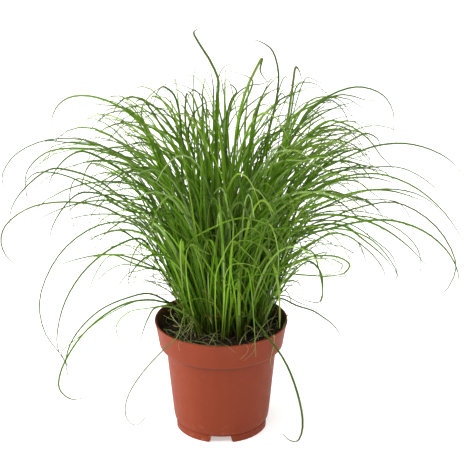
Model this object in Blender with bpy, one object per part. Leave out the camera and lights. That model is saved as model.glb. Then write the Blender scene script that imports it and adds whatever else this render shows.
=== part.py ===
"""Potted umbrella sedge: a grassy fountain of three-edged shoots in a plastic nursery pot.

Units are metres and +Z is up. The origin is the centre of the circle that the pot stands on.
Each shoot is a sheathed stem with its leaves grown onto it, and stands in its own hole in the soil.
"""

import math

import bmesh
import bpy
import numpy as np

MM = 0.001
GAP = 0.3 * MM

# Pot
POT_SEGMENTS = 32
POT_HEIGHT = 104.5 * MM
RIM_RADIUS = 60 * MM
COLLAR_FOOT_RADIUS = 56 * MM
COLLAR_HEIGHT = 24 * MM
BODY_TOP_RADIUS = 50.2 * MM
BODY_FOOT_RADIUS = 43.5 * MM
FOOT_RADIUS = 42 * MM
FOOT_HEIGHT = 7.8 * MM
FOOT_WALL = 2.2 * MM
WALL = 1.3 * MM
LEDGE_RISE = 1.6 * MM
LEDGE_FOOT = 0.4 * MM
COLLAR_ROUNDING = 1 * MM
LIP_OVERHANG = 0.5 * MM
LIP_HEIGHT = 1.5 * MM
GROOVE_DEPTH = 0.4 * MM
GROOVE_HEIGHT = 0.7 * MM
TOE_HEIGHT = 3.5 * MM
NOTCH_WIDTH = 22 * MM
NOTCH_TOP_WIDTH = 16 * MM
NOTCH_HEIGHT = 6.4 * MM
NOTCH_COUNT = 4
DRAIN_RADIUS = 4 * MM
DRAIN_RING = 30 * MM
DRAIN_SIDES = 10
POT_COLOUR = (0.42, 0.13, 0.06)
POT_ROUGHNESS = 0.45
SHARP_ANGLE = math.radians(35)

# Soil
SOIL_SEGMENTS = 24
SOIL_TOP = 92.5 * MM
SOIL_CROWN = 3 * MM
SOIL_FALL = 6 * MM
SOIL_RINGS = 2
SOIL_SHOULDER_DROP = 0.8 * MM
SOIL_COLOUR = (0.03, 0.02, 0.012)
SOIL_ROUGHNESS = 0.95

# Shoots
SHOOT_COUNT = 46
CLUMP_RADIUS = 42 * MM
CLUMP_CENTRE = np.array([3.0, 7.0]) * MM
CLUMP_SPREAD = np.array([0.92, 0.66])
GOLDEN_ANGLE = math.radians(137.508)
STEM_DEPTH = 6 * MM
STEM_RADIUS = 2.3 * MM
FORK_RADIUS = 1.8 * MM
TALL_STEM = 90 * MM
TALL_STEM_SEGMENTS = 3
SHORT_STEM_SEGMENTS = 2
LEAF_COLOUR = (0.12, 0.27, 0.04)
LEAF_ROUGHNESS = 0.5

# How far a stem's middle is moved out and up, as shares of the way to its fork
BEND_OUT = 0.22
BEND_UP = 0.34

# A standing place is a share of the fork's offset from the axis, less for a fork that is higher up
PLACE_SHARE = 0.75
PLACE_SHARE_FALL = 0.2
PLACE_SHARE_HEIGHT = 200 * MM

# Half width, rise and keel of a three-edged section: of a stem for its radius, of a leaf for its width
STEM_EDGES = (0.87, 0.5, 1.0)
LEAF_EDGES = (0.5, 0.14, 0.34)

# A leaf's root goes this deep into its stem, and widens from a share of its width as it leaves it
LEAF_ROOT = 2.5 * MM
LEAF_ROOT_SHARE = 0.7
LEAF_SWELL_RATE = 2
LEAF_TIP_SHARE = 0.22
LEAF_TAPER_POWER = 0.8

# Curves, and how much a turn counts beside length where they are thinned to straight segments
CURVE_STEPS = 12
TURN_WEIGHT = 0.9
LEAST_TURN = 0.5
UPRIGHT = 1 * MM

# Shifts in depth that are tried to keep a hand-placed stem or leaf clear of the others
STEM_SHIFTS = 50
LEAF_SHIFTS = 60
SHIFT_STEP = 3

# The shoots inside the clump, which grow by rule. Angles are in degrees, powers and turns have no unit
SEED = 20
SHORT_STEM = (45 * MM, 85 * MM)
RULE_LEAVES = 3
RULE_SEGMENTS = 5
RULE_STEPS = 40
RULE_STEM_TRIES = 200
RULE_LEAF_TRIES = 400
RULE_HEADING = 0.5
RULE_STEM_LEAN = (2, 10)
RULE_STEM_EDGE_LEAN = 16
RULE_LEAF_TURN = 1.1
RULE_LEAF_STRAY = 0.7
RULE_LEAF_LEAN = (6, 20)
RULE_LEAF_EDGE_LEAN = 10
RULE_DROOP = (35, 120)
RULE_LENGTH = (150, 270)
RULE_WIDTH = (1.9, 2.7)
RULE_POWER = (1.2, 2.4)

# The view that the hand-placed leaves were read in, for setting them back or forward along it. Their
# heights are counted from a level a little above the ground
READING_LEVEL = 2.5 * MM
EYE = np.array([12.5, -1100.0, 600.0]) * MM + (0.0, 0.0, READING_LEVEL)

# How far the fountain reaches to the front and the back
DEPTH_REACH = 150 * MM

# The dome and the skirt that the leaves by rule stay between, in millimetres as seen from the eye
DOME_TOP = 305
DOME_FALL = 0.0028
DOME_REACH = 175
SKIRT_HEIGHT = 138
SKIRT_RISE = 0.12
SKIRT_FIRST_POINT = 2


class Shoot:
    """One shoot: where its stem stands and forks, and its leaves as lists of points."""

    def __init__(self, fork, depth, leaves):
        self.fork = fork
        self.depth = depth
        self.leaves = leaves


# Hand-placed shoots. A fork is (x, z) in millimetres on the upright plane through the pot's axis, and
# depth is how far the fork then stands behind that plane. Each leaf is the depth of its tip, the
# number of its segments, its width, and its points on that plane from the fork to the tip.
SEEN_SHOOTS = [
    Shoot((-66, 284), -6, [
        (18, 10, 2.4, [(-86, 299), (-110, 308), (-128, 307), (-139, 299), (-144, 287), (-143, 280)]),
        (-24, 5, 2.2, [(-78, 296), (-89, 299.5), (-105, 300.5), (-119, 300)]),
        (6, 7, 2.0, [(-76, 296), (-86, 298), (-96, 296), (-106, 280), (-112, 269)]),
        (-10, 6, 2.2, [(-67, 296), (-60, 308), (-50, 316), (-39, 321.5)]),
    ]),
    Shoot((-58, 270), 22, [
        (40, 7, 2.0, [(-70, 290), (-83, 295), (-97, 292), (-110, 280), (-118, 270)]),
        (52, 6, 1.5, [(-67, 290), (-78, 304), (-85, 309), (-93, 308)]),
        (10, 6, 1.8, [(-66, 284), (-74, 287), (-78, 277), (-81, 266)]),
        (30, 6, 1.6, [(-66, 279), (-78, 283), (-88, 278), (-98, 267)]),
    ]),
    Shoot((-34, 270), 14, [
        (30, 8, 2.4, [(-35, 292), (-40, 310), (-49, 316), (-54, 310), (-57, 299)]),
        (12, 7, 2.4, [(-40, 294), (-50, 305), (-57, 308), (-60, 300)]),
        (-8, 7, 2.2, [(-48, 278), (-57, 293), (-66, 304.5), (-71, 304), (-72, 298)]),
    ]),
    Shoot((-27, 258), 34, [
        (36, 7, 1.8, [(-30, 287), (-29.8, 300), (-28.2, 310.5), (-26.4, 308), (-25, 299)]),
        (60, 4, 1.3, [(-22, 285), (-23, 304), (-22.4, 325), (-20, 335)]),
        (50, 7, 2.0, [(-27, 281), (-21, 295), (-11, 303), (-4, 303)]),
    ]),
    Shoot((-4, 276), 6, [
        (30, 9, 2.6, [(-3, 304), (-2, 322), (-10, 341), (-17, 352), (-22, 363), (-15, 367)]),
        (10, 5, 1.8, [(-6, 295), (-5.5, 312), (-7, 325), (-9, 334)]),
        (-12, 6, 1.5, [(-1, 300), (-2, 322), (4, 334), (16, 336), (25, 333)]),
    ]),
    Shoot((-13, 262), -22, [
        (-30, 5, 2.0, [(-14.4, 287), (-15, 304), (-14, 317), (-9.5, 332)]),
        (-50, 7, 1.8, [(-12, 290), (-14, 307), (-26, 315), (-35, 318.5), (-41, 319.5)]),
    ]),
    Shoot((5, 268), 40, [
        (60, 8, 2.0, [(6, 292), (10, 306), (14, 312), (9, 318), (1, 312)]),
        (30, 7, 1.8, [(9, 300), (14, 310), (24, 317), (36, 319), (48, 325)]),
    ]),
    Shoot((13, 270), -8, [
        (-4, 10, 2.6, [(16, 292), (23.5, 317), (30, 331), (35, 340), (33.5, 330), (40, 320)]),
        (-30, 7, 2.0, [(18, 295), (26, 315), (27, 322), (14, 328.5), (2, 330)]),
        (-20, 5, 2.2, [(19, 294), (28, 303), (38, 310), (48, 314)]),
    ]),
    Shoot((25, 268), 24, [
        (10, 6, 2.8, [(29, 292), (35, 305), (41, 311), (48, 315)]),
        (36, 5, 2.0, [(30, 295), (37, 311), (44, 321), (49, 325)]),
    ]),
    Shoot((38, 262), 2, [
        (20, 10, 2.2, [(43, 284), (48, 307), (49, 330), (43, 348.5), (31, 356), (24, 356)]),
        (-14, 6, 2.2, [(43, 285), (50, 304), (60, 309), (72, 309)]),
        (40, 6, 1.8, [(45, 290), (50, 309), (53, 310), (57, 301)]),
    ]),
    Shoot((53, 258), -20, [
        (-10, 8, 2.4, [(57, 284), (61, 312), (64, 333), (66.5, 330), (69, 322)]),
        (-40, 7, 2.2, [(60, 280), (70, 297), (80, 295), (90, 286), (97, 274)]),
        (16, 6, 1.8, [(58, 285), (62, 305), (60, 318), (55, 325)]),
    ]),
    Shoot((60, 268), 30, [
        (64, 10, 2.4, [(78, 297), (100, 312), (119, 316), (138, 309), (147, 295), (148, 279), (140, 258)]),
        (24, 7, 2.0, [(76, 297), (100, 309), (113, 308), (122, 305), (134, 304)]),
        (46, 7, 2.0, [(74, 292), (92, 305), (105, 295), (112, 274)]),
    ]),
    Shoot((55, 252), 56, [
        (90, 7, 1.8, [(64, 285), (78, 305), (99, 306), (110, 294), (116, 283)]),
        (110, 7, 1.6, [(60, 290), (66, 318), (80, 319), (90, 310), (93, 303)]),
    ]),
    Shoot((62, 232), -24, [
        (-70, 9, 2.4, [(95, 247), (127, 262), (142, 265.5), (160, 266), (180, 261), (198, 251), (213, 234)]),
        (-40, 8, 2.2, [(72, 250), (95, 258), (114, 270), (125, 275), (135, 270), (138, 259)]),
        (-10, 5, 2.2, [(76, 250), (97, 268), (111, 275), (121, 277)]),
    ]),
    Shoot((58, 244), 12, [
        (30, 9, 2.2, [(72, 270), (92, 286), (110, 282), (127, 270), (140, 253), (161, 234)]),
        (70, 8, 2.0, [(72, 268), (86, 280), (105, 281), (118, 270), (126, 256), (136, 240)]),
        (10, 7, 2.0, [(72, 262), (88, 278), (98, 270), (107, 262)]),
    ]),
    Shoot((66, 222), 26, [
        (50, 8, 2.2, [(84, 237), (102, 244), (128, 245), (153, 245), (169, 239), (187, 225), (192, 214)]),
        (84, 6, 2.0, [(84, 240), (101, 250), (115, 249), (128, 238), (138, 222)]),
        (16, 5, 2.4, [(84, 230), (104, 241), (120, 247), (138, 244)]),
    ]),
    Shoot((62, 206), -34, [
        (-62, 9, 2.2, [(85, 227), (106, 236), (125, 239), (142, 238), (170, 226), (196, 203), (219, 169)]),
        (-46, 7, 2.8, [(84, 210), (104, 218), (132, 224), (151, 222.5), (166, 218), (180, 213)]),
        (-20, 6, 2.0, [(84, 224), (100, 232), (118, 232), (134, 220), (150, 210)]),
    ]),
    Shoot((60, 196), 8, [
        (-4, 11, 2.2, [(90, 197), (120, 208), (151, 213), (177, 201), (198, 179), (209, 151), (199, 126),
                       (184, 118)]),
        (60, 8, 2.0, [(90, 208), (118, 221), (146, 225), (172, 220), (192, 205), (199, 184)]),
        (-12, 7, 2.4, [(90, 212), (110, 218), (128, 214), (140, 202), (147, 190)]),
    ]),
    Shoot((57, 182), -20, [
        (-30, 9, 2.4, [(88, 186), (124, 195), (152, 195.5), (180, 185), (202, 165), (212, 143), (210, 131)]),
        (-60, 7, 2.8, [(84, 200), (114, 199), (140, 190), (165, 172), (187, 148)]),
        (8, 8, 1.8, [(90, 190), (120, 200), (151, 191), (173, 171), (178, 152), (175, 137)]),
    ]),
    Shoot((54, 168), 14, [
        (-8, 8, 2.6, [(82, 190), (106, 191), (129, 175), (145, 161), (159, 142)]),
        (26, 8, 2.0, [(82, 184), (104, 188), (131, 179), (150, 159), (157, 143), (150, 131)]),
        (50, 7, 1.8, [(84, 194), (112, 193), (135, 178), (152, 162), (158, 142)]),
    ]),
    Shoot((50, 152), -26, [
        (-46, 8, 2.2, [(80, 175), (104, 184), (129, 169), (145, 148), (147, 130)]),
        (-30, 7, 2.0, [(78, 172), (98, 184), (119, 177), (127, 163), (131, 142)]),
        (-70, 9, 2.0, [(64, 156), (82, 162), (104, 161), (114, 154), (110, 146), (92, 143), (67, 144)]),
    ]),
    Shoot((44, 122), -24, [
        (-30, 8, 2.0, [(54, 121), (68, 114), (82.8, 108.9), (92, 102.5), (99.3, 97), (105.8, 89.1), (110.7, 79.1)]),
        (-14, 6, 1.5, [(56, 124), (70, 117), (83, 111.5), (92, 104.5)]),
        (-44, 7, 2.0, [(60, 142), (78, 157), (88, 148), (91, 128), (88, 117)]),
    ]),
    Shoot((16, 104), -44, [
        (-62, 12, 2.2, [(26, 104), (34, 95), (42.5, 82.5), (52.6, 68), (61.1, 51.8), (67.8, 33.4), (72.7, 14.8),
                        (75.3, -2), (74.6, -15.7), (70.6, -24.2), (64, -23.6), (57.3, -16.7)]),
        (-46, 9, 3.0, [(16, 160), (20, 175), (27.5, 179.5), (35.5, 174.3), (41.8, 164.5), (46.8, 153), (49.9, 141.5),
                       (51.9, 125.5), (52.8, 109), (52.9, 92)]),
    ]),
    Shoot((-30, 105), -46, [
        (-64, 12, 1.6, [(-33.5, 103), (-36.5, 93), (-39.3, 84), (-46.6, 75.6), (-53.1, 69.5), (-65.3, 55.9),
                        (-74.7, 43.6), (-82.4, 31.3), (-87.4, 20), (-89.5, 8.5), (-88.4, 0.1), (-84.4, -5.7),
                        (-78.8, -7.2), (-71.2, 0.1)]),
        (-40, 6, 2.2, [(-45, 113), (-59.5, 111.9), (-66, 102), (-69.9, 92.1), (-73.8, 79.1)]),
    ]),
    Shoot((-46, 118), 2, [
        (-10, 11, 2.4, [(-64, 120), (-87, 116), (-113, 99), (-133, 76), (-148, 46), (-149, 30), (-139, 20),
                        (-124, 22)]),
        (20, 8, 2.2, [(-64, 126), (-84, 122), (-109, 110), (-133, 84), (-142, 59), (-138, 29)]),
        (36, 6, 1.5, [(-64, 112), (-83, 108), (-95, 93), (-88, 69)]),
    ]),
    Shoot((-54, 150), 22, [
        (56, 9, 2.4, [(-70, 178), (-94, 171), (-120, 150), (-139, 121), (-148, 92), (-149, 72), (-140, 52)]),
        (30, 7, 2.2, [(-73, 158), (-91, 163.5), (-111, 163), (-138, 156), (-149, 151)]),
        (70, 6, 1.8, [(-78, 155), (-97, 163), (-112, 145), (-118, 126), (-116, 114)]),
    ]),
    Shoot((-56, 164), -16, [
        (-50, 10, 2.8, [(-76, 192), (-102, 193), (-127, 180), (-148, 157), (-163, 120), (-160, 88),
                        (-143, 60), (-135, 42)]),
        (-36, 6, 2.0, [(-70, 174), (-77, 165), (-82, 145), (-82, 125)]),
        (-20, 6, 2.0, [(-73, 176), (-88, 186), (-104, 183), (-122, 177)]),
    ]),
    Shoot((-60, 186), 12, [
        (74, 11, 2.2, [(-84, 198), (-105, 209), (-141, 213), (-169, 207), (-190, 190), (-194, 174),
                       (-188, 159), (-178, 152)]),
        (0, 6, 2.4, [(-80, 199), (-101, 202), (-122, 200), (-145, 193)]),
        (-30, 8, 2.0, [(-82, 208), (-104, 220), (-122, 221), (-133, 213), (-148, 190), (-152, 171)]),
    ]),
    Shoot((-62, 204), -18, [
        (-60, 10, 2.4, [(-84, 215), (-105, 232), (-131, 242), (-147, 243), (-169, 227), (-183, 207),
                        (-186, 181)]),
        (-30, 8, 2.0, [(-82, 205), (-109, 224), (-137, 238), (-160, 239.5), (-170, 229), (-168, 214)]),
        (-10, 7, 1.8, [(-84, 206), (-104, 215), (-119, 200)]),
    ]),
    Shoot((-60, 218), 16, [
        (36, 8, 2.6, [(-76, 234), (-95, 248), (-119, 259), (-133, 253), (-146, 237), (-153, 218)]),
        (56, 8, 2.0, [(-78, 232), (-96, 244), (-112, 248), (-121, 228), (-125, 219)]),
        (20, 8, 1.8, [(-84, 216), (-112, 231), (-126, 234), (-132, 216), (-129, 190)]),
    ]),
    Shoot((-58, 228), -6, [
        (40, 11, 2.0, [(-82, 252), (-103, 264), (-120, 270), (-151, 269), (-177, 256), (-189, 238),
                       (-188, 227), (-182, 223.5)]),
        (-40, 7, 2.2, [(-80, 251), (-103, 265), (-120, 270.5), (-133, 273), (-148, 275)]),
        (-16, 9, 2.0, [(-80, 250), (-103, 259), (-122, 262), (-150, 258), (-168, 240), (-169, 218)]),
        (14, 6, 1.8, [(-78, 250), (-100, 263), (-131, 267), (-150, 268), (-151, 260)]),
    ]),
]


def clear_scene():
    for thing in list(bpy.data.objects):
        bpy.data.objects.remove(thing, do_unlink=True)


def finish(name, rgb, roughness):
    material = bpy.data.materials.new(name)
    material.use_nodes = True
    shader = material.node_tree.nodes["Principled BSDF"]
    shader.inputs["Base Color"].default_value = (*rgb, 1.0)
    shader.inputs["Roughness"].default_value = roughness
    shader.inputs["Metallic"].default_value = 0.0
    return material


def new_object(name, bm, material=None):
    bmesh.ops.recalc_face_normals(bm, faces=bm.faces)
    mesh = bpy.data.meshes.new(name)
    bm.to_mesh(mesh)
    bm.free()
    thing = bpy.data.objects.new(name, mesh)
    bpy.context.scene.collection.objects.link(thing)
    if material:
        mesh.materials.append(material)
    return thing


def combine(target, helpers, operation):
    """Joins helper shapes to a target, or cuts them out of it, and removes them."""
    for helper in helpers:
        boolean = target.modifiers.new("combine", "BOOLEAN")
        boolean.operation = operation
        boolean.solver = "EXACT"
        boolean.object = helper
    depsgraph = bpy.context.evaluated_depsgraph_get()
    combined = bpy.data.meshes.new_from_object(target.evaluated_get(depsgraph))
    target.modifiers.clear()
    target.data = combined
    for helper in helpers:
        bpy.data.objects.remove(helper, do_unlink=True)


def round_corners(mesh):
    mesh.shade_smooth()
    mesh.set_sharp_from_angle(angle=SHARP_ANGLE)


def turned(name, profile, segments, material=None):
    """A solid turned about Z from (radius, height) points, the first and last on the axis."""
    bm = bmesh.new()
    rings = []
    for radius, height in profile[1:-1]:
        ring = []
        for i in range(segments):
            angle = 2 * math.pi * i / segments
            ring.append(bm.verts.new((radius * math.cos(angle), radius * math.sin(angle), height)))
        rings.append(ring)
    for lower, upper in zip(rings, rings[1:]):
        for i in range(segments):
            j = (i + 1) % segments
            bm.faces.new((lower[i], lower[j], upper[j], upper[i]))
    for ring, point in ((rings[0], profile[0]), (rings[-1], profile[-1])):
        pole = bm.verts.new((0, 0, point[1]))
        for i in range(segments):
            bm.faces.new((pole, ring[i], ring[(i + 1) % segments]))
    return new_object(name, bm, material)


def wedge(name, size, top_width, place, turn):
    """A block that narrows from size's width at its middle height to top_width at its top."""
    bm = bmesh.new()
    bmesh.ops.create_cube(bm, size=1)
    bmesh.ops.scale(bm, vec=size, verts=bm.verts)
    narrow = 2 * top_width / size[1] - 1
    top = [vert for vert in bm.verts if vert.co.z > 0]
    bmesh.ops.scale(bm, vec=(1, narrow, 1), verts=top)
    thing = new_object(name, bm)
    thing.location = place
    thing.rotation_euler = (0, 0, turn)
    return thing


def rod(name, radius, length, place, sides):
    bm = bmesh.new()
    bmesh.ops.create_cone(bm, cap_ends=True, segments=sides, radius1=radius, radius2=radius, depth=length)
    thing = new_object(name, bm)
    thing.location = place
    return thing


def collar_inner_radius(height):
    """Radius of the pot's inner wall inside the collar."""
    share = 1 - (POT_HEIGHT - height) / (COLLAR_HEIGHT - LEDGE_RISE)
    return COLLAR_FOOT_RADIUS + (RIM_RADIUS - COLLAR_FOOT_RADIUS) * share - WALL


def make_pot():
    collar_foot = POT_HEIGHT - COLLAR_HEIGHT
    floor_top = FOOT_HEIGHT + WALL
    outside = [
        (0, FOOT_HEIGHT - WALL),
        (FOOT_RADIUS - FOOT_WALL, FOOT_HEIGHT - WALL),
        (FOOT_RADIUS - FOOT_WALL, 0),
        (FOOT_RADIUS, 0),
        (FOOT_RADIUS, FOOT_HEIGHT),
        (FOOT_RADIUS - GROOVE_DEPTH, FOOT_HEIGHT + GROOVE_HEIGHT),
        (BODY_FOOT_RADIUS, FOOT_HEIGHT + TOE_HEIGHT),
        (BODY_TOP_RADIUS, collar_foot - COLLAR_ROUNDING),
        (COLLAR_FOOT_RADIUS - COLLAR_ROUNDING, collar_foot),
        (COLLAR_FOOT_RADIUS, collar_foot + COLLAR_ROUNDING),
        (RIM_RADIUS - LIP_OVERHANG, POT_HEIGHT - LIP_HEIGHT),
        (RIM_RADIUS, POT_HEIGHT),
    ]
    inside = [
        (RIM_RADIUS - WALL, POT_HEIGHT),
        (COLLAR_FOOT_RADIUS - WALL, collar_foot + LEDGE_RISE),
        (BODY_TOP_RADIUS - WALL, collar_foot + LEDGE_FOOT),
        (BODY_FOOT_RADIUS - WALL, floor_top),
        (0, floor_top),
    ]
    plastic = finish("terracotta_plastic", POT_COLOUR, POT_ROUGHNESS)
    pot = turned("pot", outside + inside, POT_SEGMENTS, plastic)
    cutters = []
    for i in range(NOTCH_COUNT):
        angle = -math.pi / 2 + 2 * math.pi * i / NOTCH_COUNT
        place = (FOOT_RADIUS * math.cos(angle), FOOT_RADIUS * math.sin(angle), 0)
        size = (4 * FOOT_WALL, 2 * NOTCH_WIDTH - NOTCH_TOP_WIDTH, 2 * NOTCH_HEIGHT)
        cutters.append(wedge("notch", size, NOTCH_TOP_WIDTH, place, angle))
        aside = angle + math.pi / NOTCH_COUNT + math.pi / POT_SEGMENTS
        spot = (DRAIN_RING * math.cos(aside), DRAIN_RING * math.sin(aside), FOOT_HEIGHT)
        cutters.append(rod("drain", DRAIN_RADIUS, 6 * WALL, spot, DRAIN_SIDES))
    combine(pot, cutters, "DIFFERENCE")
    round_corners(pot.data)
    return pot


def soil_height(radius):
    """The soil's top is a low dome that drops a little towards the pot's wall."""
    share = min(radius / RIM_RADIUS, 1.0)
    return SOIL_TOP + SOIL_CROWN - SOIL_FALL * share * share


def make_soil(stems):
    floor = FOOT_HEIGHT + WALL + GAP
    shoulder = POT_HEIGHT - COLLAR_HEIGHT + LEDGE_RISE
    edge = soil_height(collar_inner_radius(SOIL_TOP))
    profile = [
        (0, floor),
        (BODY_FOOT_RADIUS - WALL - GAP, floor),
        (BODY_TOP_RADIUS - WALL - GAP, shoulder - SOIL_SHOULDER_DROP),
        (COLLAR_FOOT_RADIUS - WALL - 2 * GAP, shoulder + 2 * GAP),
        (collar_inner_radius(edge) - 2 * GAP, edge),
    ]
    outer = profile[-1][0]
    for i in range(1, SOIL_RINGS):
        radius = outer * (1 - i / SOIL_RINGS)
        profile.append((radius, soil_height(radius)))
    profile.append((0, soil_height(0)))
    peat = finish("dark_peat", SOIL_COLOUR, SOIL_ROUGHNESS)
    soil = turned("soil", profile, SOIL_SEGMENTS, peat)
    cutters = []
    for path, radii in stems:
        hole = np.array([path[0] - unit(path[1] - path[0]) * GAP, path[1], path[2]])
        wide = [radius + 2 * GAP for radius in radii[:3]]
        cutters.append(swept("hole", hole, stem_rings(wide), outward(path), False))
    combine(soil, cutters, "DIFFERENCE")
    round_corners(soil.data)
    return soil


def unit(vector):
    return vector / np.linalg.norm(vector)


def outward(path):
    """The level direction that a stem or leaf leans in."""
    lean = np.array([path[-1][0] - path[0][0], path[-1][1] - path[0][1], 0.0])
    if np.linalg.norm(lean) < UPRIGHT:
        return np.array([1.0, 0.0, 0.0])
    return unit(lean)


def smooth_curve(points):
    """A centripetal Catmull-Rom curve through points."""
    points = [np.asarray(p, float) for p in points]
    points = [2 * points[0] - points[1], *points, 2 * points[-1] - points[-2]]
    curve = []
    for a, b, c, d in zip(points, points[1:], points[2:], points[3:]):
        t1 = math.sqrt(np.linalg.norm(b - a))
        t2 = t1 + math.sqrt(np.linalg.norm(c - b))
        t3 = t2 + math.sqrt(np.linalg.norm(d - c))
        for t in np.linspace(t1, t2, CURVE_STEPS, endpoint=False):
            ab = a + (b - a) * t / t1
            bc = b + (c - b) * (t - t1) / (t2 - t1)
            cd = c + (d - c) * (t - t2) / (t3 - t2)
            abc = ab + (bc - ab) * t / t2
            bcd = bc + (cd - bc) * (t - t1) / (t3 - t1)
            curve.append(abc + (bcd - abc) * (t - t1) / (t2 - t1))
    curve.append(points[-2])
    return np.array(curve)


def thinned(curve, segments):
    """The same curve in a few straight segments, shorter where it turns more."""
    runs = np.diff(curve, axis=0)
    lengths = np.linalg.norm(runs, axis=1)
    ways = runs / lengths[:, None]
    turns = np.arccos(np.clip(np.sum(ways[1:] * ways[:-1], axis=1), -1, 1))
    weights = lengths / lengths.sum()
    weights[1:] += TURN_WEIGHT * turns / max(turns.sum(), LEAST_TURN)
    places = np.concatenate([[0], np.cumsum(weights)])
    wanted = np.linspace(0, places[-1], segments + 1)
    return np.stack([np.interp(wanted, places, curve[:, axis]) for axis in range(3)], axis=1)


def stem_rings(radii):
    """Half width, rise and keel of a three-edged stem at each of its points."""
    return [tuple(edge * radius for edge in STEM_EDGES) for radius in radii]


def leaf_rings(width, count):
    """Half width, rise and keel of a keeled leaf from its root to its tip."""
    rings = []
    for i in range(count):
        share = i / (count - 1)
        swell = min(1.0, LEAF_ROOT_SHARE + LEAF_SWELL_RATE * share)
        taper = LEAF_TIP_SHARE + (1 - LEAF_TIP_SHARE) * (1 - share) ** LEAF_TAPER_POWER
        across = width * swell * taper
        rings.append(tuple(edge * across for edge in LEAF_EDGES))
    return rings


def swept(name, path, rings, lean, pointed, material=None):
    """A three-edged solid along a path, ending in a point or in a flat end."""
    bm = bmesh.new()
    side = np.array([-lean[1], lean[0], 0.0])
    loops = []
    last = len(path) - 1
    for i, point in enumerate(path):
        if pointed and i == last:
            continue
        way = unit(path[min(i + 1, last)] - path[max(i - 1, 0)])
        across = unit(side - way * side.dot(way))
        up = np.cross(way, across)
        half, rise, keel = rings[i]
        corners = (point + across * half + up * rise, point - across * half + up * rise, point - up * keel)
        loops.append([bm.verts.new(corner) for corner in corners])
    for lower, upper in zip(loops, loops[1:]):
        for i in range(3):
            j = (i + 1) % 3
            bm.faces.new((lower[i], lower[j], upper[j], upper[i]))
    bm.faces.new(loops[0])
    if pointed:
        tip = bm.verts.new(path[-1])
        for i in range(3):
            bm.faces.new((loops[-1][i], loops[-1][(i + 1) % 3], tip))
    else:
        bm.faces.new(loops[-1])
    return new_object(name, bm, material)


def set_back(point, depth):
    """A point of the upright plane, moved along the line of sight to a depth behind that plane."""
    flat = np.array([point[0] * MM, 0.0, point[1] * MM + READING_LEVEL])
    return EYE + (flat - EYE) * (1 - depth / EYE[1])


def as_seen(points):
    """Where points show on the upright plane, as (x, z) from the reading level."""
    scale = EYE[1] / (EYE[1] - points[:, 1])
    seen = EYE[[0, 2]] + (points[:, [0, 2]] - EYE[[0, 2]]) * scale[:, None]
    return seen - (0.0, READING_LEVEL)


def standing_places():
    """Where the shoots stand: a sunflower pattern, squeezed so that it leaves the front of the soil bare."""
    places = []
    for i in range(SHOOT_COUNT):
        radius = CLUMP_RADIUS * math.sqrt((i + 0.5) / SHOOT_COUNT)
        angle = i * GOLDEN_ANGLE
        places.append(CLUMP_CENTRE + CLUMP_SPREAD * (radius * math.cos(angle), radius * math.sin(angle)))
    return places


class Spacing:
    """Keeps the pieces apart: it holds what is placed, and tests what is new against it."""

    REACH = 2 * MM

    def __init__(self):
        self.placed = []

    def samples(self, path, radii):
        points, sizes = [], []
        for i in range(len(path) - 1):
            count = max(int(np.linalg.norm(path[i + 1] - path[i]) / self.REACH), 1)
            for t in np.arange(count + (i == len(path) - 2)) / count:
                points.append(path[i] + (path[i + 1] - path[i]) * t)
                sizes.append(radii[i] + (radii[i + 1] - radii[i]) * t)
        return np.array(points), np.array(sizes)

    def free(self, owner, path, radii):
        points, sizes = self.samples(path, radii)
        if not self.clears_pot(points, sizes):
            return False
        low, high = points.min(axis=0) - 2 * self.REACH, points.max(axis=0) + 2 * self.REACH
        for name, others, widths in self.placed:
            if name == owner or np.any(others.min(axis=0) > high) or np.any(others.max(axis=0) < low):
                continue
            away = np.linalg.norm(points[:, None, :] - others[None, :, :], axis=2)
            room = sizes[:, None] + widths[None, :] + GAP
            if np.any(away < np.sqrt(room * room + 0.5 * self.REACH ** 2)):
                return False
        return True

    def clears_pot(self, points, sizes):
        radius = np.hypot(points[:, 0], points[:, 1])
        height = points[:, 2]
        room = sizes + 2 * GAP
        above = height > POT_HEIGHT + room
        beside = (radius > RIM_RADIUS + room) & (height > room)
        within = radius < COLLAR_FOOT_RADIUS - WALL - room
        return bool(np.all(above | beside | within))

    def keep(self, owner, path, radii):
        points, sizes = self.samples(path, radii)
        self.placed.append((owner, points, sizes))


def assign_places(shoots):
    """Gives each hand-placed shoot the free standing place that suits its lean best, low ones first."""
    free = standing_places()
    chosen = {}
    for shoot in sorted(shoots, key=lambda each: each.fork[1]):
        fork = set_back(shoot.fork, shoot.depth * MM)
        rise = (fork[2] - SOIL_TOP) / PLACE_SHARE_HEIGHT
        wanted = fork[:2] * (PLACE_SHARE - PLACE_SHARE_FALL * rise)
        wanted *= min(1.0, CLUMP_RADIUS / max(np.linalg.norm(wanted), MM))
        best = min(range(len(free)), key=lambda i: np.linalg.norm(free[i] - wanted))
        chosen[shoot.fork] = free.pop(best)
    return [chosen[shoot.fork] for shoot in shoots], free


def stem_path(place, fork, segments):
    """A stem's line from below the soil's top to its fork, rising steeply before it leans."""
    foot = np.array([*place, soil_height(np.linalg.norm(place))])
    rise = fork[2] - foot[2]
    lean = fork[:2] - place
    above = np.array([*(place + lean * BEND_OUT), foot[2] + rise * BEND_UP])
    way = unit(above - foot)
    root = foot - way * STEM_DEPTH
    curve = smooth_curve([foot, above, fork])
    return np.concatenate([[root], thinned(curve, segments)])


def stem_radii(count):
    return [STEM_RADIUS + (FORK_RADIUS - STEM_RADIUS) * i / (count - 1) for i in range(count)]


def leaf_start(stem):
    """Where a leaf's line begins, a little below its stem's top."""
    return stem[-1] - unit(stem[-1] - stem[-2]) * LEAF_ROOT


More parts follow.
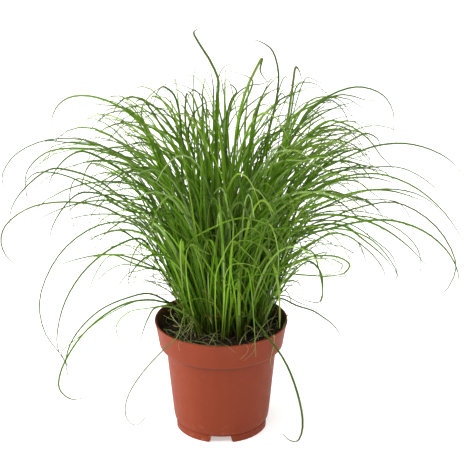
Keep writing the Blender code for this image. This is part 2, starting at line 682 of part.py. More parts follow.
def seen_leaf(stem, points, tip_depth, segments):
    """A hand-placed leaf: its points are set back evenly from the fork's depth to the tip's."""
    start = leaf_start(stem)
    flat = [as_seen(stem[-1:])[0] / MM] + [np.array(p, float) for p in points]
    lengths = np.linalg.norm(np.diff(flat, axis=0), axis=1)
    shares = np.cumsum(lengths) / lengths.sum()
    depth = stem[-1][1]
    placed = [set_back(p, depth + (tip_depth - depth) * s) for p, s in zip(points, shares)]
    return thinned(smooth_curve([start, *placed]), segments)


def rule_leaf(start, azimuth, lean, length, droop, power):
    """A leaf that leans out from its stem and droops more and more towards its tip."""
    point = np.array(start, float)
    points = [point]
    for i in range(RULE_STEPS):
        share = (i + 0.5) / RULE_STEPS
        angle = lean + droop * share ** power
        way = (math.sin(angle) * math.cos(azimuth), math.sin(angle) * math.sin(azimuth), math.cos(angle))
        point = point + np.array(way) * length / RULE_STEPS
        points.append(point)
    return thinned(np.array(points), RULE_SEGMENTS)


def inside_fountain(path):
    """Whether a leaf stays inside the plant's outline, and clear above the soil in front."""
    seen = as_seen(path) / MM
    reach = np.abs(path[:, 1]).max()
    free_part = seen[SKIRT_FIRST_POINT:]
    under_dome = np.all(seen[:, 1] < DOME_TOP - DOME_FALL * seen[:, 0] ** 2)
    over_skirt = np.all(free_part[:, 1] > SKIRT_HEIGHT + SKIRT_RISE * np.abs(free_part[:, 0]))
    return reach < DEPTH_REACH and under_dome and over_skirt and np.abs(seen[:, 0]).max() < DOME_REACH


def outward_steps(count, size):
    """0, then size to one side and to the other, then twice size, and so on."""
    return [((step + 1) // 2) * size * (-1) ** step for step in range(count)]


def half_widths(rings):
    return [ring[0] for ring in rings]


def plan_seen_shoots(spacing, places):
    plans = []
    for number, (shoot, place) in enumerate(zip(SEEN_SHOOTS, places)):
        for shift in outward_steps(STEM_SHIFTS, SHIFT_STEP):
            fork = set_back(shoot.fork, (shoot.depth + shift) * MM)
            tall = fork[2] > SOIL_TOP + TALL_STEM
            stem = stem_path(place, fork, TALL_STEM_SEGMENTS if tall else SHORT_STEM_SEGMENTS)
            radii = stem_radii(len(stem))
            if spacing.free(number, stem, radii):
                break
        else:
            raise RuntimeError(f"stem {number} touches another")
        spacing.keep(number, stem, radii)
        plans.append([stem, radii, []])
    for number, (shoot, plan) in enumerate(zip(SEEN_SHOOTS, plans)):
        for tip_depth, segments, width, points in shoot.leaves:
            rings = leaf_rings(width * MM, segments + 1)
            for shift in outward_steps(LEAF_SHIFTS, SHIFT_STEP):
                path = seen_leaf(plan[0], points, (tip_depth + shift) * MM, segments)
                if spacing.free(number, path, half_widths(rings)):
                    break
            else:
                raise RuntimeError(f"a leaf of shoot {number} touches another, ending at {points[-1]}")
            spacing.keep(number, path, half_widths(rings))
            plan[2].append((path, rings))
    return plans


def plan_rule_shoots(spacing, places, first_number):
    random = np.random.default_rng(SEED)
    plans = []
    for number, place in enumerate(places, start=first_number):
        out = (place - CLUMP_CENTRE) / CLUMP_SPREAD
        share = np.linalg.norm(out) / CLUMP_RADIUS
        heading = math.atan2(out[1], out[0])
        for _ in range(RULE_STEM_TRIES):
            azimuth = heading + random.uniform(-RULE_HEADING, RULE_HEADING)
            lean = math.radians(random.uniform(*RULE_STEM_LEAN) + RULE_STEM_EDGE_LEAN * share)
            height = random.uniform(*SHORT_STEM)
            way = np.array([math.cos(azimuth), math.sin(azimuth)])
            fork = np.array([*(place + way * height * math.tan(lean)), SOIL_TOP + height])
            stem = stem_path(place, fork, SHORT_STEM_SEGMENTS)
            radii = stem_radii(len(stem))
            if spacing.free(number, stem, radii):
                break
        else:
            raise RuntimeError(f"stem {number} has no room")
        spacing.keep(number, stem, radii)
        leaves = []
        for leaf in range(RULE_LEAVES):
            fan = (leaf - (RULE_LEAVES - 1) / 2) * RULE_LEAF_TURN
            for _ in range(RULE_LEAF_TRIES):
                turn = azimuth + fan + random.uniform(-RULE_LEAF_STRAY, RULE_LEAF_STRAY)
                lean = math.radians(random.uniform(*RULE_LEAF_LEAN) + RULE_LEAF_EDGE_LEAN * share)
                droop = math.radians(random.uniform(*RULE_DROOP))
                length = random.uniform(*RULE_LENGTH) * MM
                rings = leaf_rings(random.uniform(*RULE_WIDTH) * MM, RULE_SEGMENTS + 1)
                path = rule_leaf(leaf_start(stem), turn, lean, length, droop, random.uniform(*RULE_POWER))
                if inside_fountain(path) and spacing.free(number, path, half_widths(rings)):
                    spacing.keep(number, path, half_widths(rings))
                    leaves.append((path, rings))
                    break
        plans.append([stem, radii, leaves])
    return plans


def make_shoot(name, plan, material):
    stem, radii, leaves = plan
    shoot = swept(name, stem, stem_rings(radii), outward(stem), False, material)
    helpers = [swept("leaf", path, rings, outward(path), True, material) for path, rings in leaves]
    combine(shoot, helpers, "UNION")
    round_corners(shoot.data)
    return shoot


def main():
    clear_scene()
    make_pot()
    spacing = Spacing()
    seen_places, other_places = assign_places(SEEN_SHOOTS)
    plans = plan_seen_shoots(spacing, seen_places)
    plans += plan_rule_shoots(spacing, other_places, len(plans))
    make_soil([(stem, radii) for stem, radii, _ in plans])
    green = finish("leaf_green", LEAF_COLOUR, LEAF_ROUGHNESS)
    for number, plan in enumerate(plans, start=1):
        make_shoot(f"shoot_{number:02d}", plan, green)


main()
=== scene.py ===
"""Dresses a potted umbrella sedge: a terracotta-coloured nursery pot, damp peat and a fountain of leaves.

Lengths are metres unless a name says millimetres. +Z is up, and the viewer stands towards -Y.
"""

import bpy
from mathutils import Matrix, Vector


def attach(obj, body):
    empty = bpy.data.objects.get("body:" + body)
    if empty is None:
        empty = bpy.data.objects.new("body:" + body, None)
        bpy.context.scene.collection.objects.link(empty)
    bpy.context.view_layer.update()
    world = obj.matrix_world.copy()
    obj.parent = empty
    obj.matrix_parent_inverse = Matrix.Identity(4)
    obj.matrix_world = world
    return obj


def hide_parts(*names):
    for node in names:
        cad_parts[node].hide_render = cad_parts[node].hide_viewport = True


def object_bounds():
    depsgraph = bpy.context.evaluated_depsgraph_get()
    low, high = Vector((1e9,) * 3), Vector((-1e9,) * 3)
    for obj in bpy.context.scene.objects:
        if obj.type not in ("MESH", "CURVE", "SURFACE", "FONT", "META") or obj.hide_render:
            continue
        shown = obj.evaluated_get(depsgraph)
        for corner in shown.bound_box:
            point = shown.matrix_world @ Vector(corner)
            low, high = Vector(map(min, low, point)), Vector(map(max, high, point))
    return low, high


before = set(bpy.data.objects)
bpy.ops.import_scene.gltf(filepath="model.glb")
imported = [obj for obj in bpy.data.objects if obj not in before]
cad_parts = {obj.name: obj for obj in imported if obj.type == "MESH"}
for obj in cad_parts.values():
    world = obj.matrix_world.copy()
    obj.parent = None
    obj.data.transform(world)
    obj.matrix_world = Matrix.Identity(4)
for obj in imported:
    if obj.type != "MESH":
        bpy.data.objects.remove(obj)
CAD_BOX = [list(corner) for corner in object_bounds()]

import logging
import math
from dataclasses import dataclass, field, replace
from enum import Enum
from typing import Callable, Sequence

import bmesh
import bpy
import numpy as np
from mathutils import Vector, noise

MM = 0.001
GAP = 0.3 * MM
LOG = logging.getLogger("sedge")

Points = np.ndarray
Triple = tuple[float, float, float]
Pair = tuple[float, float]
Draws = np.random.Generator
Socket = bpy.types.NodeSocket
Finish = bpy.types.Material
Piece = bpy.types.Object


def unit(vector: Points) -> Points:
    """The direction of a vector."""
    return vector / np.linalg.norm(vector)


def level_lean(path: Points) -> Points:
    """The level direction that a path leans in.

    Args:
        path: The points of a stem or leaf, root first.

    Returns:
        A level unit vector, +X where the path stands upright.
    """
    lean = np.array([path[-1][0] - path[0][0], path[-1][1] - path[0][1], 0.0])
    if np.linalg.norm(lean) < MM:
        return np.array([1.0, 0.0, 0.0])
    return unit(lean)


def smooth_curve(points: Sequence[Points], steps: int = 12) -> Points:
    """A centripetal Catmull-Rom curve.

    Args:
        points: The points it goes through.
        steps: Points made for each stretch between two of them.

    Returns:
        The curve's points, one row each.
    """
    points = [np.asarray(p, float) for p in points]
    points = [2 * points[0] - points[1], *points, 2 * points[-1] - points[-2]]
    curve = []
    for a, b, c, d in zip(points, points[1:], points[2:], points[3:]):
        t1 = math.sqrt(np.linalg.norm(b - a))
        t2 = t1 + math.sqrt(np.linalg.norm(c - b))
        t3 = t2 + math.sqrt(np.linalg.norm(d - c))
        for t in np.linspace(t1, t2, steps, endpoint=False):
            ab = a + (b - a) * t / t1
            bc = b + (c - b) * (t - t1) / (t2 - t1)
            cd = c + (d - c) * (t - t2) / (t3 - t2)
            abc = ab + (bc - ab) * t / t2
            bcd = bc + (cd - bc) * (t - t1) / (t3 - t1)
            curve.append(abc + (bcd - abc) * (t - t1) / (t2 - t1))
    curve.append(points[-2])
    return np.array(curve)


def thinned(curve: Points, segments: int, turn_weight: float = 0.9) -> Points:
    """The same curve in fewer straight segments, shorter where it turns more.

    Args:
        curve: The points of a fine curve.
        segments: The number of segments wanted.
        turn_weight: How much the turning counts beside the length.

    Returns:
        segments + 1 points on the curve.
    """
    runs = np.diff(curve, axis=0)
    lengths = np.linalg.norm(runs, axis=1)
    ways = runs / lengths[:, None]
    turns = np.arccos(np.clip(np.sum(ways[1:] * ways[:-1], axis=1), -1, 1))
    weights = lengths / lengths.sum()
    weights[1:] += turn_weight * turns / max(turns.sum(), 0.5)
    places = np.concatenate([[0], np.cumsum(weights)])
    wanted = np.linspace(0, places[-1], segments + 1)
    return np.stack([np.interp(wanted, places, curve[:, axis]) for axis in range(3)], axis=1)


@dataclass(frozen=True)
class Viewpoint:
    """The eye that the leaves were read from, which is also where the camera stands."""

    eye: Triple = (0.0125, -1.1, 0.6025)
    reading_level: float = 2.5 * MM
    pitch_down: float = math.radians(20.8)
    focal_px: float = 1335.0
    frame_px: float = 470.0
    sensor_mm: float = 36.0

    def set_back(self, point: Sequence[float], depth: float) -> Points:
        """Moves a point of the upright plane y = 0 along the line of sight.

        Args:
            point: (x, z) on that plane, in millimetres from the reading level.
            depth: How far behind the plane it goes, in metres.

        Returns:
            The point in space.
        """
        eye = np.array(self.eye)
        flat = np.array([point[0] * MM, 0.0, point[1] * MM + self.reading_level])
        return eye + (flat - eye) * (1 - depth / eye[1])

    def as_seen(self, points: Points) -> Points:
        """Where points show on the upright plane y = 0.

        Args:
            points: The points in space.

        Returns:
            (x, z) rows, in metres from the reading level.
        """
        eye = np.array(self.eye)
        scale = eye[1] / (eye[1] - points[:, 1])
        seen = eye[[0, 2]] + (points[:, [0, 2]] - eye[[0, 2]]) * scale[:, None]
        return seen - (0.0, self.reading_level)

    def make_camera(self) -> None:
        """Makes the scene's camera."""
        data = bpy.data.cameras.new("camera")
        data.sensor_width = self.sensor_mm
        data.lens = self.focal_px / self.frame_px * self.sensor_mm
        camera = new_object("camera", data)
        camera.location = self.eye
        camera.rotation_euler = (math.radians(90) - self.pitch_down, 0, 0)
        bpy.context.scene.camera = camera


VIEW = Viewpoint()


@dataclass(frozen=True)
class Leaf:
    """A leaf read as a line on the upright plane, in millimetres, with the depth of its tip."""

    tip_depth: float
    segments: int
    width: float
    line: list[Pair]


@dataclass(frozen=True)
class Shoot:
    """A shoot read the same way: where its stem forks, how far back, and its leaves."""

    fork: Pair
    depth: float
    leaves: list[Leaf]


# Shoots read from the front. A fork and a leaf's points are (x, z), and depth is how far the fork stands back
SEEN_SHOOTS = [
    Shoot((-66, 284), -6, [
        Leaf(18, 10, 2.4, [(-86, 299), (-110, 308), (-128, 307), (-139, 299), (-144, 287), (-143, 280)]),
        Leaf(-24, 5, 2.2, [(-78, 296), (-89, 299.5), (-105, 300.5), (-119, 300)]),
        Leaf(6, 7, 2.0, [(-76, 296), (-86, 298), (-96, 296), (-106, 280), (-112, 269)]),
        Leaf(-10, 6, 2.2, [(-67, 296), (-60, 308), (-50, 316), (-39, 321.5)]),
    ]),
    Shoot((-58, 270), 22, [
        Leaf(40, 7, 2.0, [(-70, 290), (-83, 295), (-97, 292), (-110, 280), (-118, 270)]),
        Leaf(52, 6, 1.5, [(-67, 290), (-78, 304), (-85, 309), (-93, 308)]),
        Leaf(10, 6, 1.8, [(-66, 284), (-74, 287), (-78, 277), (-81, 266)]),
        Leaf(30, 6, 1.6, [(-66, 279), (-78, 283), (-88, 278), (-98, 267)]),
    ]),
    Shoot((-34, 270), 14, [
        Leaf(30, 8, 2.4, [(-35, 292), (-40, 310), (-49, 316), (-54, 310), (-57, 299)]),
        Leaf(12, 7, 2.4, [(-40, 294), (-50, 305), (-57, 308), (-60, 300)]),
        Leaf(-8, 7, 2.2, [(-48, 278), (-57, 293), (-66, 304.5), (-71, 304), (-72, 298)]),
    ]),
    Shoot((-27, 258), 34, [
        Leaf(36, 7, 1.8, [(-30, 287), (-29.8, 300), (-28.2, 310.5), (-26.4, 308), (-25, 299)]),
        Leaf(60, 4, 1.3, [(-22, 285), (-23, 304), (-22.4, 325), (-20, 335)]),
        Leaf(50, 7, 2.0, [(-27, 281), (-21, 295), (-11, 303), (-4, 303)]),
    ]),
    Shoot((-4, 276), 6, [
        Leaf(30, 9, 2.6, [(-3, 304), (-2, 322), (-10, 341), (-17, 352), (-22, 363), (-15, 367)]),
        Leaf(10, 5, 1.8, [(-6, 295), (-5.5, 312), (-7, 325), (-9, 334)]),
        Leaf(-12, 6, 1.5, [(-1, 300), (-2, 322), (4, 334), (16, 336), (25, 333)]),
    ]),
    Shoot((-13, 262), -22, [
        Leaf(-30, 5, 2.0, [(-14.4, 287), (-15, 304), (-14, 317), (-9.5, 332)]),
        Leaf(-50, 7, 1.8, [(-12, 290), (-14, 307), (-26, 315), (-35, 318.5), (-41, 319.5)]),
    ]),
    Shoot((5, 268), 40, [
        Leaf(60, 8, 2.0, [(6, 292), (10, 306), (14, 312), (9, 318), (1, 312)]),
        Leaf(30, 7, 1.8, [(9, 300), (14, 310), (24, 317), (36, 319), (48, 325)]),
    ]),
    Shoot((13, 270), -8, [
        Leaf(-4, 10, 2.6, [(16, 292), (23.5, 317), (30, 331), (35, 340), (33.5, 330), (40, 320)]),
        Leaf(-30, 7, 2.0, [(18, 295), (26, 315), (27, 322), (14, 328.5), (2, 330)]),
        Leaf(-20, 5, 2.2, [(19, 294), (28, 303), (38, 310), (48, 314)]),
    ]),
    Shoot((25, 268), 24, [
        Leaf(10, 6, 2.8, [(29, 292), (35, 305), (41, 311), (48, 315)]),
        Leaf(36, 5, 2.0, [(30, 295), (37, 311), (44, 321), (49, 325)]),
    ]),
    Shoot((38, 262), 2, [
        Leaf(20, 10, 2.2, [(43, 284), (48, 307), (49, 330), (43, 348.5), (31, 356), (24, 356)]),
        Leaf(-14, 6, 2.2, [(43, 285), (50, 304), (60, 309), (72, 309)]),
        Leaf(40, 6, 1.8, [(45, 290), (50, 309), (53, 310), (57, 301)]),
    ]),
    Shoot((53, 258), -20, [
        Leaf(-10, 8, 2.4, [(57, 284), (61, 312), (64, 333), (66.5, 330), (69, 322)]),
        Leaf(-40, 7, 2.2, [(60, 280), (70, 297), (80, 295), (90, 286), (97, 274)]),
        Leaf(16, 6, 1.8, [(58, 285), (62, 305), (60, 318), (55, 325)]),
    ]),
    Shoot((60, 268), 30, [
        Leaf(64, 10, 2.4, [
            (78, 297), (100, 312), (119, 316), (138, 309), (147, 295), (148, 279), (140, 258)]),
        Leaf(24, 7, 2.0, [(76, 297), (100, 309), (113, 308), (122, 305), (134, 304)]),
        Leaf(46, 7, 2.0, [(74, 292), (92, 305), (105, 295), (112, 274)]),
    ]),
    Shoot((55, 252), 56, [
        Leaf(90, 7, 1.8, [(64, 285), (78, 305), (99, 306), (110, 294), (116, 283)]),
        Leaf(110, 7, 1.6, [(60, 290), (66, 318), (80, 319), (90, 310), (93, 303)]),
    ]),
    Shoot((62, 232), -24, [
        Leaf(-70, 9, 2.4, [
            (95, 247), (127, 262), (142, 265.5), (160, 266), (180, 261), (198, 251), (213, 234)]),
        Leaf(-40, 8, 2.2, [(72, 250), (95, 258), (114, 270), (125, 275), (135, 270), (138, 259)]),
        Leaf(-10, 5, 2.2, [(76, 250), (97, 268), (111, 275), (121, 277)]),
    ]),
    Shoot((58, 244), 12, [
        Leaf(30, 9, 2.2, [(72, 270), (92, 286), (110, 282), (127, 270), (140, 253), (161, 234)]),
        Leaf(70, 8, 2.0, [(72, 268), (86, 280), (105, 281), (118, 270), (126, 256), (136, 240)]),
        Leaf(10, 7, 2.0, [(72, 262), (88, 278), (98, 270), (107, 262)]),
    ]),
    Shoot((66, 222), 26, [
        Leaf(50, 8, 2.2, [
            (84, 237), (102, 244), (128, 245), (153, 245), (169, 239), (187, 225), (192, 214)]),
        Leaf(84, 6, 2.0, [(84, 240), (101, 250), (115, 249), (128, 238), (138, 222)]),
        Leaf(16, 5, 2.4, [(84, 230), (104, 241), (120, 247), (138, 244)]),
    ]),
    Shoot((62, 206), -34, [
        Leaf(-62, 9, 2.2, [
            (85, 227), (106, 236), (125, 239), (142, 238), (170, 226), (196, 203), (219, 169)]),
        Leaf(-46, 7, 2.8, [(84, 210), (104, 218), (132, 224), (151, 222.5), (166, 218), (180, 213)]),
        Leaf(-20, 6, 2.0, [(84, 224), (100, 232), (118, 232), (134, 220), (150, 210)]),
    ]),
    Shoot((60, 196), 8, [
        Leaf(-4, 11, 2.2, [
            (90, 197), (120, 208), (151, 213), (177, 201), (198, 179), (209, 151), (199, 126),
            (184, 118)]),
        Leaf(60, 8, 2.0, [(90, 208), (118, 221), (146, 225), (172, 220), (192, 205), (199, 184)]),
        Leaf(-12, 7, 2.4, [(90, 212), (110, 218), (128, 214), (140, 202), (147, 190)]),
    ]),
    Shoot((57, 182), -20, [
        Leaf(-30, 9, 2.4, [
            (88, 186), (124, 195), (152, 195.5), (180, 185), (202, 165), (212, 143), (210, 131)]),
        Leaf(-60, 7, 2.8, [(84, 200), (114, 199), (140, 190), (165, 172), (187, 148)]),
        Leaf(8, 8, 1.8, [(90, 190), (120, 200), (151, 191), (173, 171), (178, 152), (175, 137)]),
    ]),
    Shoot((54, 168), 14, [
        Leaf(-8, 8, 2.6, [(82, 190), (106, 191), (129, 175), (145, 161), (159, 142)]),
        Leaf(26, 8, 2.0, [(82, 184), (104, 188), (131, 179), (150, 159), (157, 143), (150, 131)]),
        Leaf(50, 7, 1.8, [(84, 194), (112, 193), (135, 178), (152, 162), (158, 142)]),
    ]),
    Shoot((50, 152), -26, [
        Leaf(-46, 8, 2.2, [(80, 175), (104, 184), (129, 169), (145, 148), (147, 130)]),
        Leaf(-30, 7, 2.0, [(78, 172), (98, 184), (119, 177), (127, 163), (131, 142)]),
        Leaf(-70, 9, 2.0, [(64, 156), (82, 162), (104, 161), (114, 154), (110, 146), (92, 143), (67, 144)]),
    ]),
    Shoot((44, 122), -24, [
        Leaf(-30, 8, 2.0, [
            (54, 121), (68, 114), (82.8, 108.9), (92, 102.5), (99.3, 97), (105.8, 89.1), (110.7, 79.1)]),
        Leaf(-14, 6, 1.5, [(56, 124), (70, 117), (83, 111.5), (92, 104.5)]),
        Leaf(-44, 7, 2.0, [(60, 142), (78, 157), (88, 148), (91, 128), (88, 117)]),
    ]),
    Shoot((16, 104), -44, [
        Leaf(-62, 12, 2.2, [
            (26, 104), (34, 95), (42.5, 82.5), (52.6, 68), (61.1, 51.8), (67.8, 33.4), (72.7, 14.8),
            (75.3, -2), (74.6, -15.7), (70.6, -24.2), (64, -23.6), (57.3, -16.7)]),
        Leaf(-46, 9, 3.0, [
            (16, 160), (20, 175), (27.5, 179.5), (35.5, 174.3), (41.8, 164.5), (46.8, 153),
            (49.9, 141.5), (51.9, 125.5), (52.8, 109), (52.9, 92)]),
    ]),
    Shoot((-30, 105), -46, [
        Leaf(-64, 12, 1.6, [
            (-33.5, 103), (-36.5, 93), (-39.3, 84), (-46.6, 75.6), (-53.1, 69.5), (-65.3, 55.9),
            (-74.7, 43.6), (-82.4, 31.3), (-87.4, 20), (-89.5, 8.5), (-88.4, 0.1), (-84.4, -5.7),
            (-78.8, -7.2), (-71.2, 0.1)]),
        Leaf(-40, 6, 2.2, [(-45, 113), (-59.5, 111.9), (-66, 102), (-69.9, 92.1), (-73.8, 79.1)]),
    ]),
    Shoot((-46, 118), 2, [
        Leaf(-10, 11, 2.4, [
            (-64, 120), (-87, 116), (-113, 99), (-133, 76), (-148, 46), (-149, 30), (-139, 20),
            (-124, 22)]),
        Leaf(20, 8, 2.2, [(-64, 126), (-84, 122), (-109, 110), (-133, 84), (-142, 59), (-138, 29)]),
        Leaf(36, 6, 1.5, [(-64, 112), (-83, 108), (-95, 93), (-88, 69)]),
    ]),
    Shoot((-54, 150), 22, [
        Leaf(56, 9, 2.4, [
            (-70, 178), (-94, 171), (-120, 150), (-139, 121), (-148, 92), (-149, 72), (-140, 52)]),
        Leaf(30, 7, 2.2, [(-73, 158), (-91, 163.5), (-111, 163), (-138, 156), (-149, 151)]),
        Leaf(70, 6, 1.8, [(-78, 155), (-97, 163), (-112, 145), (-118, 126), (-116, 114)]),
    ]),
    Shoot((-56, 164), -16, [
        Leaf(-50, 10, 2.8, [
            (-76, 192), (-102, 193), (-127, 180), (-148, 157), (-163, 120), (-160, 88), (-143, 60),
            (-135, 42)]),
        Leaf(-36, 6, 2.0, [(-70, 174), (-77, 165), (-82, 145), (-82, 125)]),
        Leaf(-20, 6, 2.0, [(-73, 176), (-88, 186), (-104, 183), (-122, 177)]),
    ]),
    Shoot((-60, 186), 12, [
        Leaf(74, 11, 2.2, [
            (-84, 198), (-105, 209), (-141, 213), (-169, 207), (-190, 190), (-194, 174), (-188, 159),
            (-178, 152)]),
        Leaf(0, 6, 2.4, [(-80, 199), (-101, 202), (-122, 200), (-145, 193)]),
        Leaf(-30, 8, 2.0, [(-82, 208), (-104, 220), (-122, 221), (-133, 213), (-148, 190), (-152, 171)]),
    ]),
    Shoot((-62, 204), -18, [
        Leaf(-60, 10, 2.4, [
            (-84, 215), (-105, 232), (-131, 242), (-147, 243), (-169, 227), (-183, 207), (-186, 181)]),
        Leaf(-30, 8, 2.0, [(-82, 205), (-109, 224), (-137, 238), (-160, 239.5), (-170, 229), (-168, 214)]),
        Leaf(-10, 7, 1.8, [(-84, 206), (-104, 215), (-119, 200)]),
    ]),
    Shoot((-60, 218), 16, [
        Leaf(36, 8, 2.6, [(-76, 234), (-95, 248), (-119, 259), (-133, 253), (-146, 237), (-153, 218)]),
        Leaf(56, 8, 2.0, [(-78, 232), (-96, 244), (-112, 248), (-121, 228), (-125, 219)]),
        Leaf(20, 8, 1.8, [(-84, 216), (-112, 231), (-126, 234), (-132, 216), (-129, 190)]),
    ]),
    Shoot((-58, 228), -6, [
        Leaf(40, 11, 2.0, [
            (-82, 252), (-103, 264), (-120, 270), (-151, 269), (-177, 256), (-189, 238), (-188, 227),
            (-182, 223.5)]),
        Leaf(-40, 7, 2.2, [(-80, 251), (-103, 265), (-120, 270.5), (-133, 273), (-148, 275)]),
        Leaf(-16, 9, 2.0, [(-80, 250), (-103, 259), (-122, 262), (-150, 258), (-168, 240), (-169, 218)]),
        Leaf(14, 6, 1.8, [(-78, 250), (-100, 263), (-131, 267), (-150, 268), (-151, 260)]),
    ]),
]

# Further thin leaves of the same shoots: the shoot's place in the list above, and the leaf
SEEN_EXTRAS = [
    (30, Leaf(-20, 7, 1.3, [(-88, 258), (-120, 262), (-131, 262), (-142, 258), (-149, 255), (-162, 246)])),
    (25, Leaf(30, 7, 1.3, [(-72, 152), (-86, 154), (-96, 151), (-109, 140), (-112, 133), (-110, 121)])),
    (26, Leaf(24, 5, 1.2, [(-60, 185), (-68, 173), (-76, 162), (-79, 156)])),
    (25, Leaf(-8, 6, 1.2, [(-66, 150), (-73, 148), (-82, 146), (-93, 131), (-96, 121)])),
    (26, Leaf(40, 6, 1.2, [(-84, 164), (-110, 162), (-122, 158), (-132, 154), (-145, 141), (-148, 136)])),
    (29, Leaf(10, 7, 1.4, [(-82, 252), (-102, 258), (-113, 247), (-118, 238), (-122, 228), (-124, 219)])),
    (9, Leaf(-30, 6, 1.6, [(48, 280), (60, 291), (70, 301), (77, 304), (86, 305)])),
    (10, Leaf(40, 6, 1.5, [(66, 262), (73, 265), (78, 288), (88, 302), (93, 304.5)])),
    (8, Leaf(-16, 5, 1.3, [(44, 296), (52, 312), (57, 316), (61, 318)])),
    (9, Leaf(-40, 6, 1.2, [(46, 298), (55, 325), (59, 322), (68, 313)])),
    (12, Leaf(80, 6, 1.1, [(64, 300), (73, 324), (80, 322), (86, 319), (94, 302)])),
    (15, Leaf(70, 6, 1.2, [(96, 232), (121, 217), (127, 214), (133, 209), (141, 198)])),
    (17, Leaf(-16, 6, 1.3, [(110, 214), (151, 214), (157, 211), (163, 204), (169, 190), (169, 184)])),
    (20, Leaf(-80, 8, 1.3, [(70, 168), (81, 166), (85, 157), (91, 128), (89, 118), (77, 119), (61, 128)])),
    (24, Leaf(-2, 8, 1.2, [(-70, 120), (-104, 104), (-128, 84), (-146, 66), (-136, 58), (-122, 51)])),
]

FRONT_SHOOT = 22


@dataclass(frozen=True)
class BladeTrace:
    """A blade in front of the clump, read from its foot in the soil to its tip."""

    foot_depth: float
    tip_depth: float
    width: float
    tone: float
    line: list[Pair]


# Blades that stand in front, joined to the front shoot's piece
FRONT_BLADES = [
    BladeTrace(4, -112, 2.1, 0.35, [
        (-26, 89), (-33, 120), (-37, 149), (-34, 166), (-24, 179), (-9, 188), (6, 195), (21, 198),
        (36, 194), (48, 187), (56, 175), (62, 162), (67, 151)]),
    BladeTrace(-24, -104, 2.1, 0.3, [
        (2, 76), (4, 105), (6, 125), (9, 149), (10, 168), (11, 182), (11, 194), (8, 205), (5, 211)]),
    BladeTrace(-24, -104, 1.7, 0.7, [
        (-3, 76), (-5, 105), (-5, 129), (-4, 147), (1, 160), (7, 173), (14, 182), (22, 188), (29, 188),
        (35, 183)]),
    BladeTrace(-24, -108, 1.5, 0.45, [
        (6, 76), (9, 120), (8, 149), (9, 168), (12, 176), (21, 167), (31, 156), (37, 142), (42, 129)]),
    BladeTrace(-24, -106, 1.5, 0.2, [
        (15, 76), (13, 120), (9, 149), (9, 160), (15, 156), (24, 147), (33, 135), (41, 124)]),
    BladeTrace(-24, -100, 1.4, 0.8, [
        (0, 76), (3, 120), (4, 144), (9, 153), (19, 155), (28, 153), (34, 150)]),
    BladeTrace(-24, -104, 1.8, -0.5, [
        (1, 76), (3, 115), (7, 133), (17, 141), (33, 144), (53, 145), (75, 144), (97, 142), (112, 143)]),
    BladeTrace(-18, -92, 1.4, 0.5, [
        (-19, 78), (-28, 120), (-31, 154), (-29, 170), (-25, 173), (-18, 168), (-10, 164)]),
]


class Spacing:
    """Keeps solid pieces apart: it holds what is placed, and tests what is new against it."""

    REACH = 2 * MM
    RIM_RADIUS = 60 * MM
    POT_HEIGHT = 104.5 * MM
    INNER_RADIUS = 54.7 * MM

    def __init__(self) -> None:
        """Starts with nothing placed."""
        self.placed: list[tuple[int, Points, Points]] = []

    def samples(self, path: Points, radii: Sequence[float]) -> tuple[Points, Points]:
        """Points along a path at close distances.

        Args:
            path: The path's corners.
            radii: The half width at each.

        Returns:
            The points, and the half width at each.
        """
        points, sizes = [], []
        for i in range(len(path) - 1):
            count = max(int(np.linalg.norm(path[i + 1] - path[i]) / self.REACH), 1)
            for t in np.arange(count + (i == len(path) - 2)) / count:
                points.append(path[i] + (path[i + 1] - path[i]) * t)
                sizes.append(radii[i] + (radii[i + 1] - radii[i]) * t)
        return np.array(points), np.array(sizes)

    def free(self, owner: int, path: Points, radii: Sequence[float]) -> bool:
        """Whether a path is clear of the pot and of everything placed for another owner.

        Args:
            owner: The shoot that the path belongs to.
            path: The path's corners.
            radii: The half width at each.

        Returns:
            True where it is clear.
        """
        points, sizes = self.samples(path, radii)
        if not self.clears_pot(points, sizes):
            return False
        low, high = points.min(axis=0) - 2 * self.REACH, points.max(axis=0) + 2 * self.REACH
        for name, others, widths in self.placed:
            if name == owner or np.any(others.min(axis=0) > high) or np.any(others.max(axis=0) < low):
                continue
            away = np.linalg.norm(points[:, None, :] - others[None, :, :], axis=2)
            room = sizes[:, None] + widths[None, :] + GAP
            if np.any(away < np.sqrt(room * room + 0.5 * self.REACH ** 2)):
                return False
        return True

    def clears_pot(self, points: Points, sizes: Points) -> bool:
        """Whether points pass over, beside or inside the pot's wall.

        Args:
            points: The points.
            sizes: The half width at each.

        Returns:
            True where all of them do.
        """
        radius = np.hypot(points[:, 0], points[:, 1])
        height = points[:, 2]
        room = sizes + 2 * GAP
        above = height > self.POT_HEIGHT + room
        beside = (radius > self.RIM_RADIUS + room) & (height > room)
        within = radius < self.INNER_RADIUS - room
        return bool(np.all(above | beside | within))

    def keep(self, owner: int, path: Points, radii: Sequence[float]) -> None:
        """Places a path for an owner."""
        points, sizes = self.samples(path, radii)
        self.placed.append((owner, points, sizes))


@dataclass
class GrownShoot:
    """One shoot's lines: its stem as a fine curve, and each leaf's curve with its width."""

    stem: Points
    stem_curve: Points
    leaves: list[tuple[Points, float]] = field(default_factory=list)


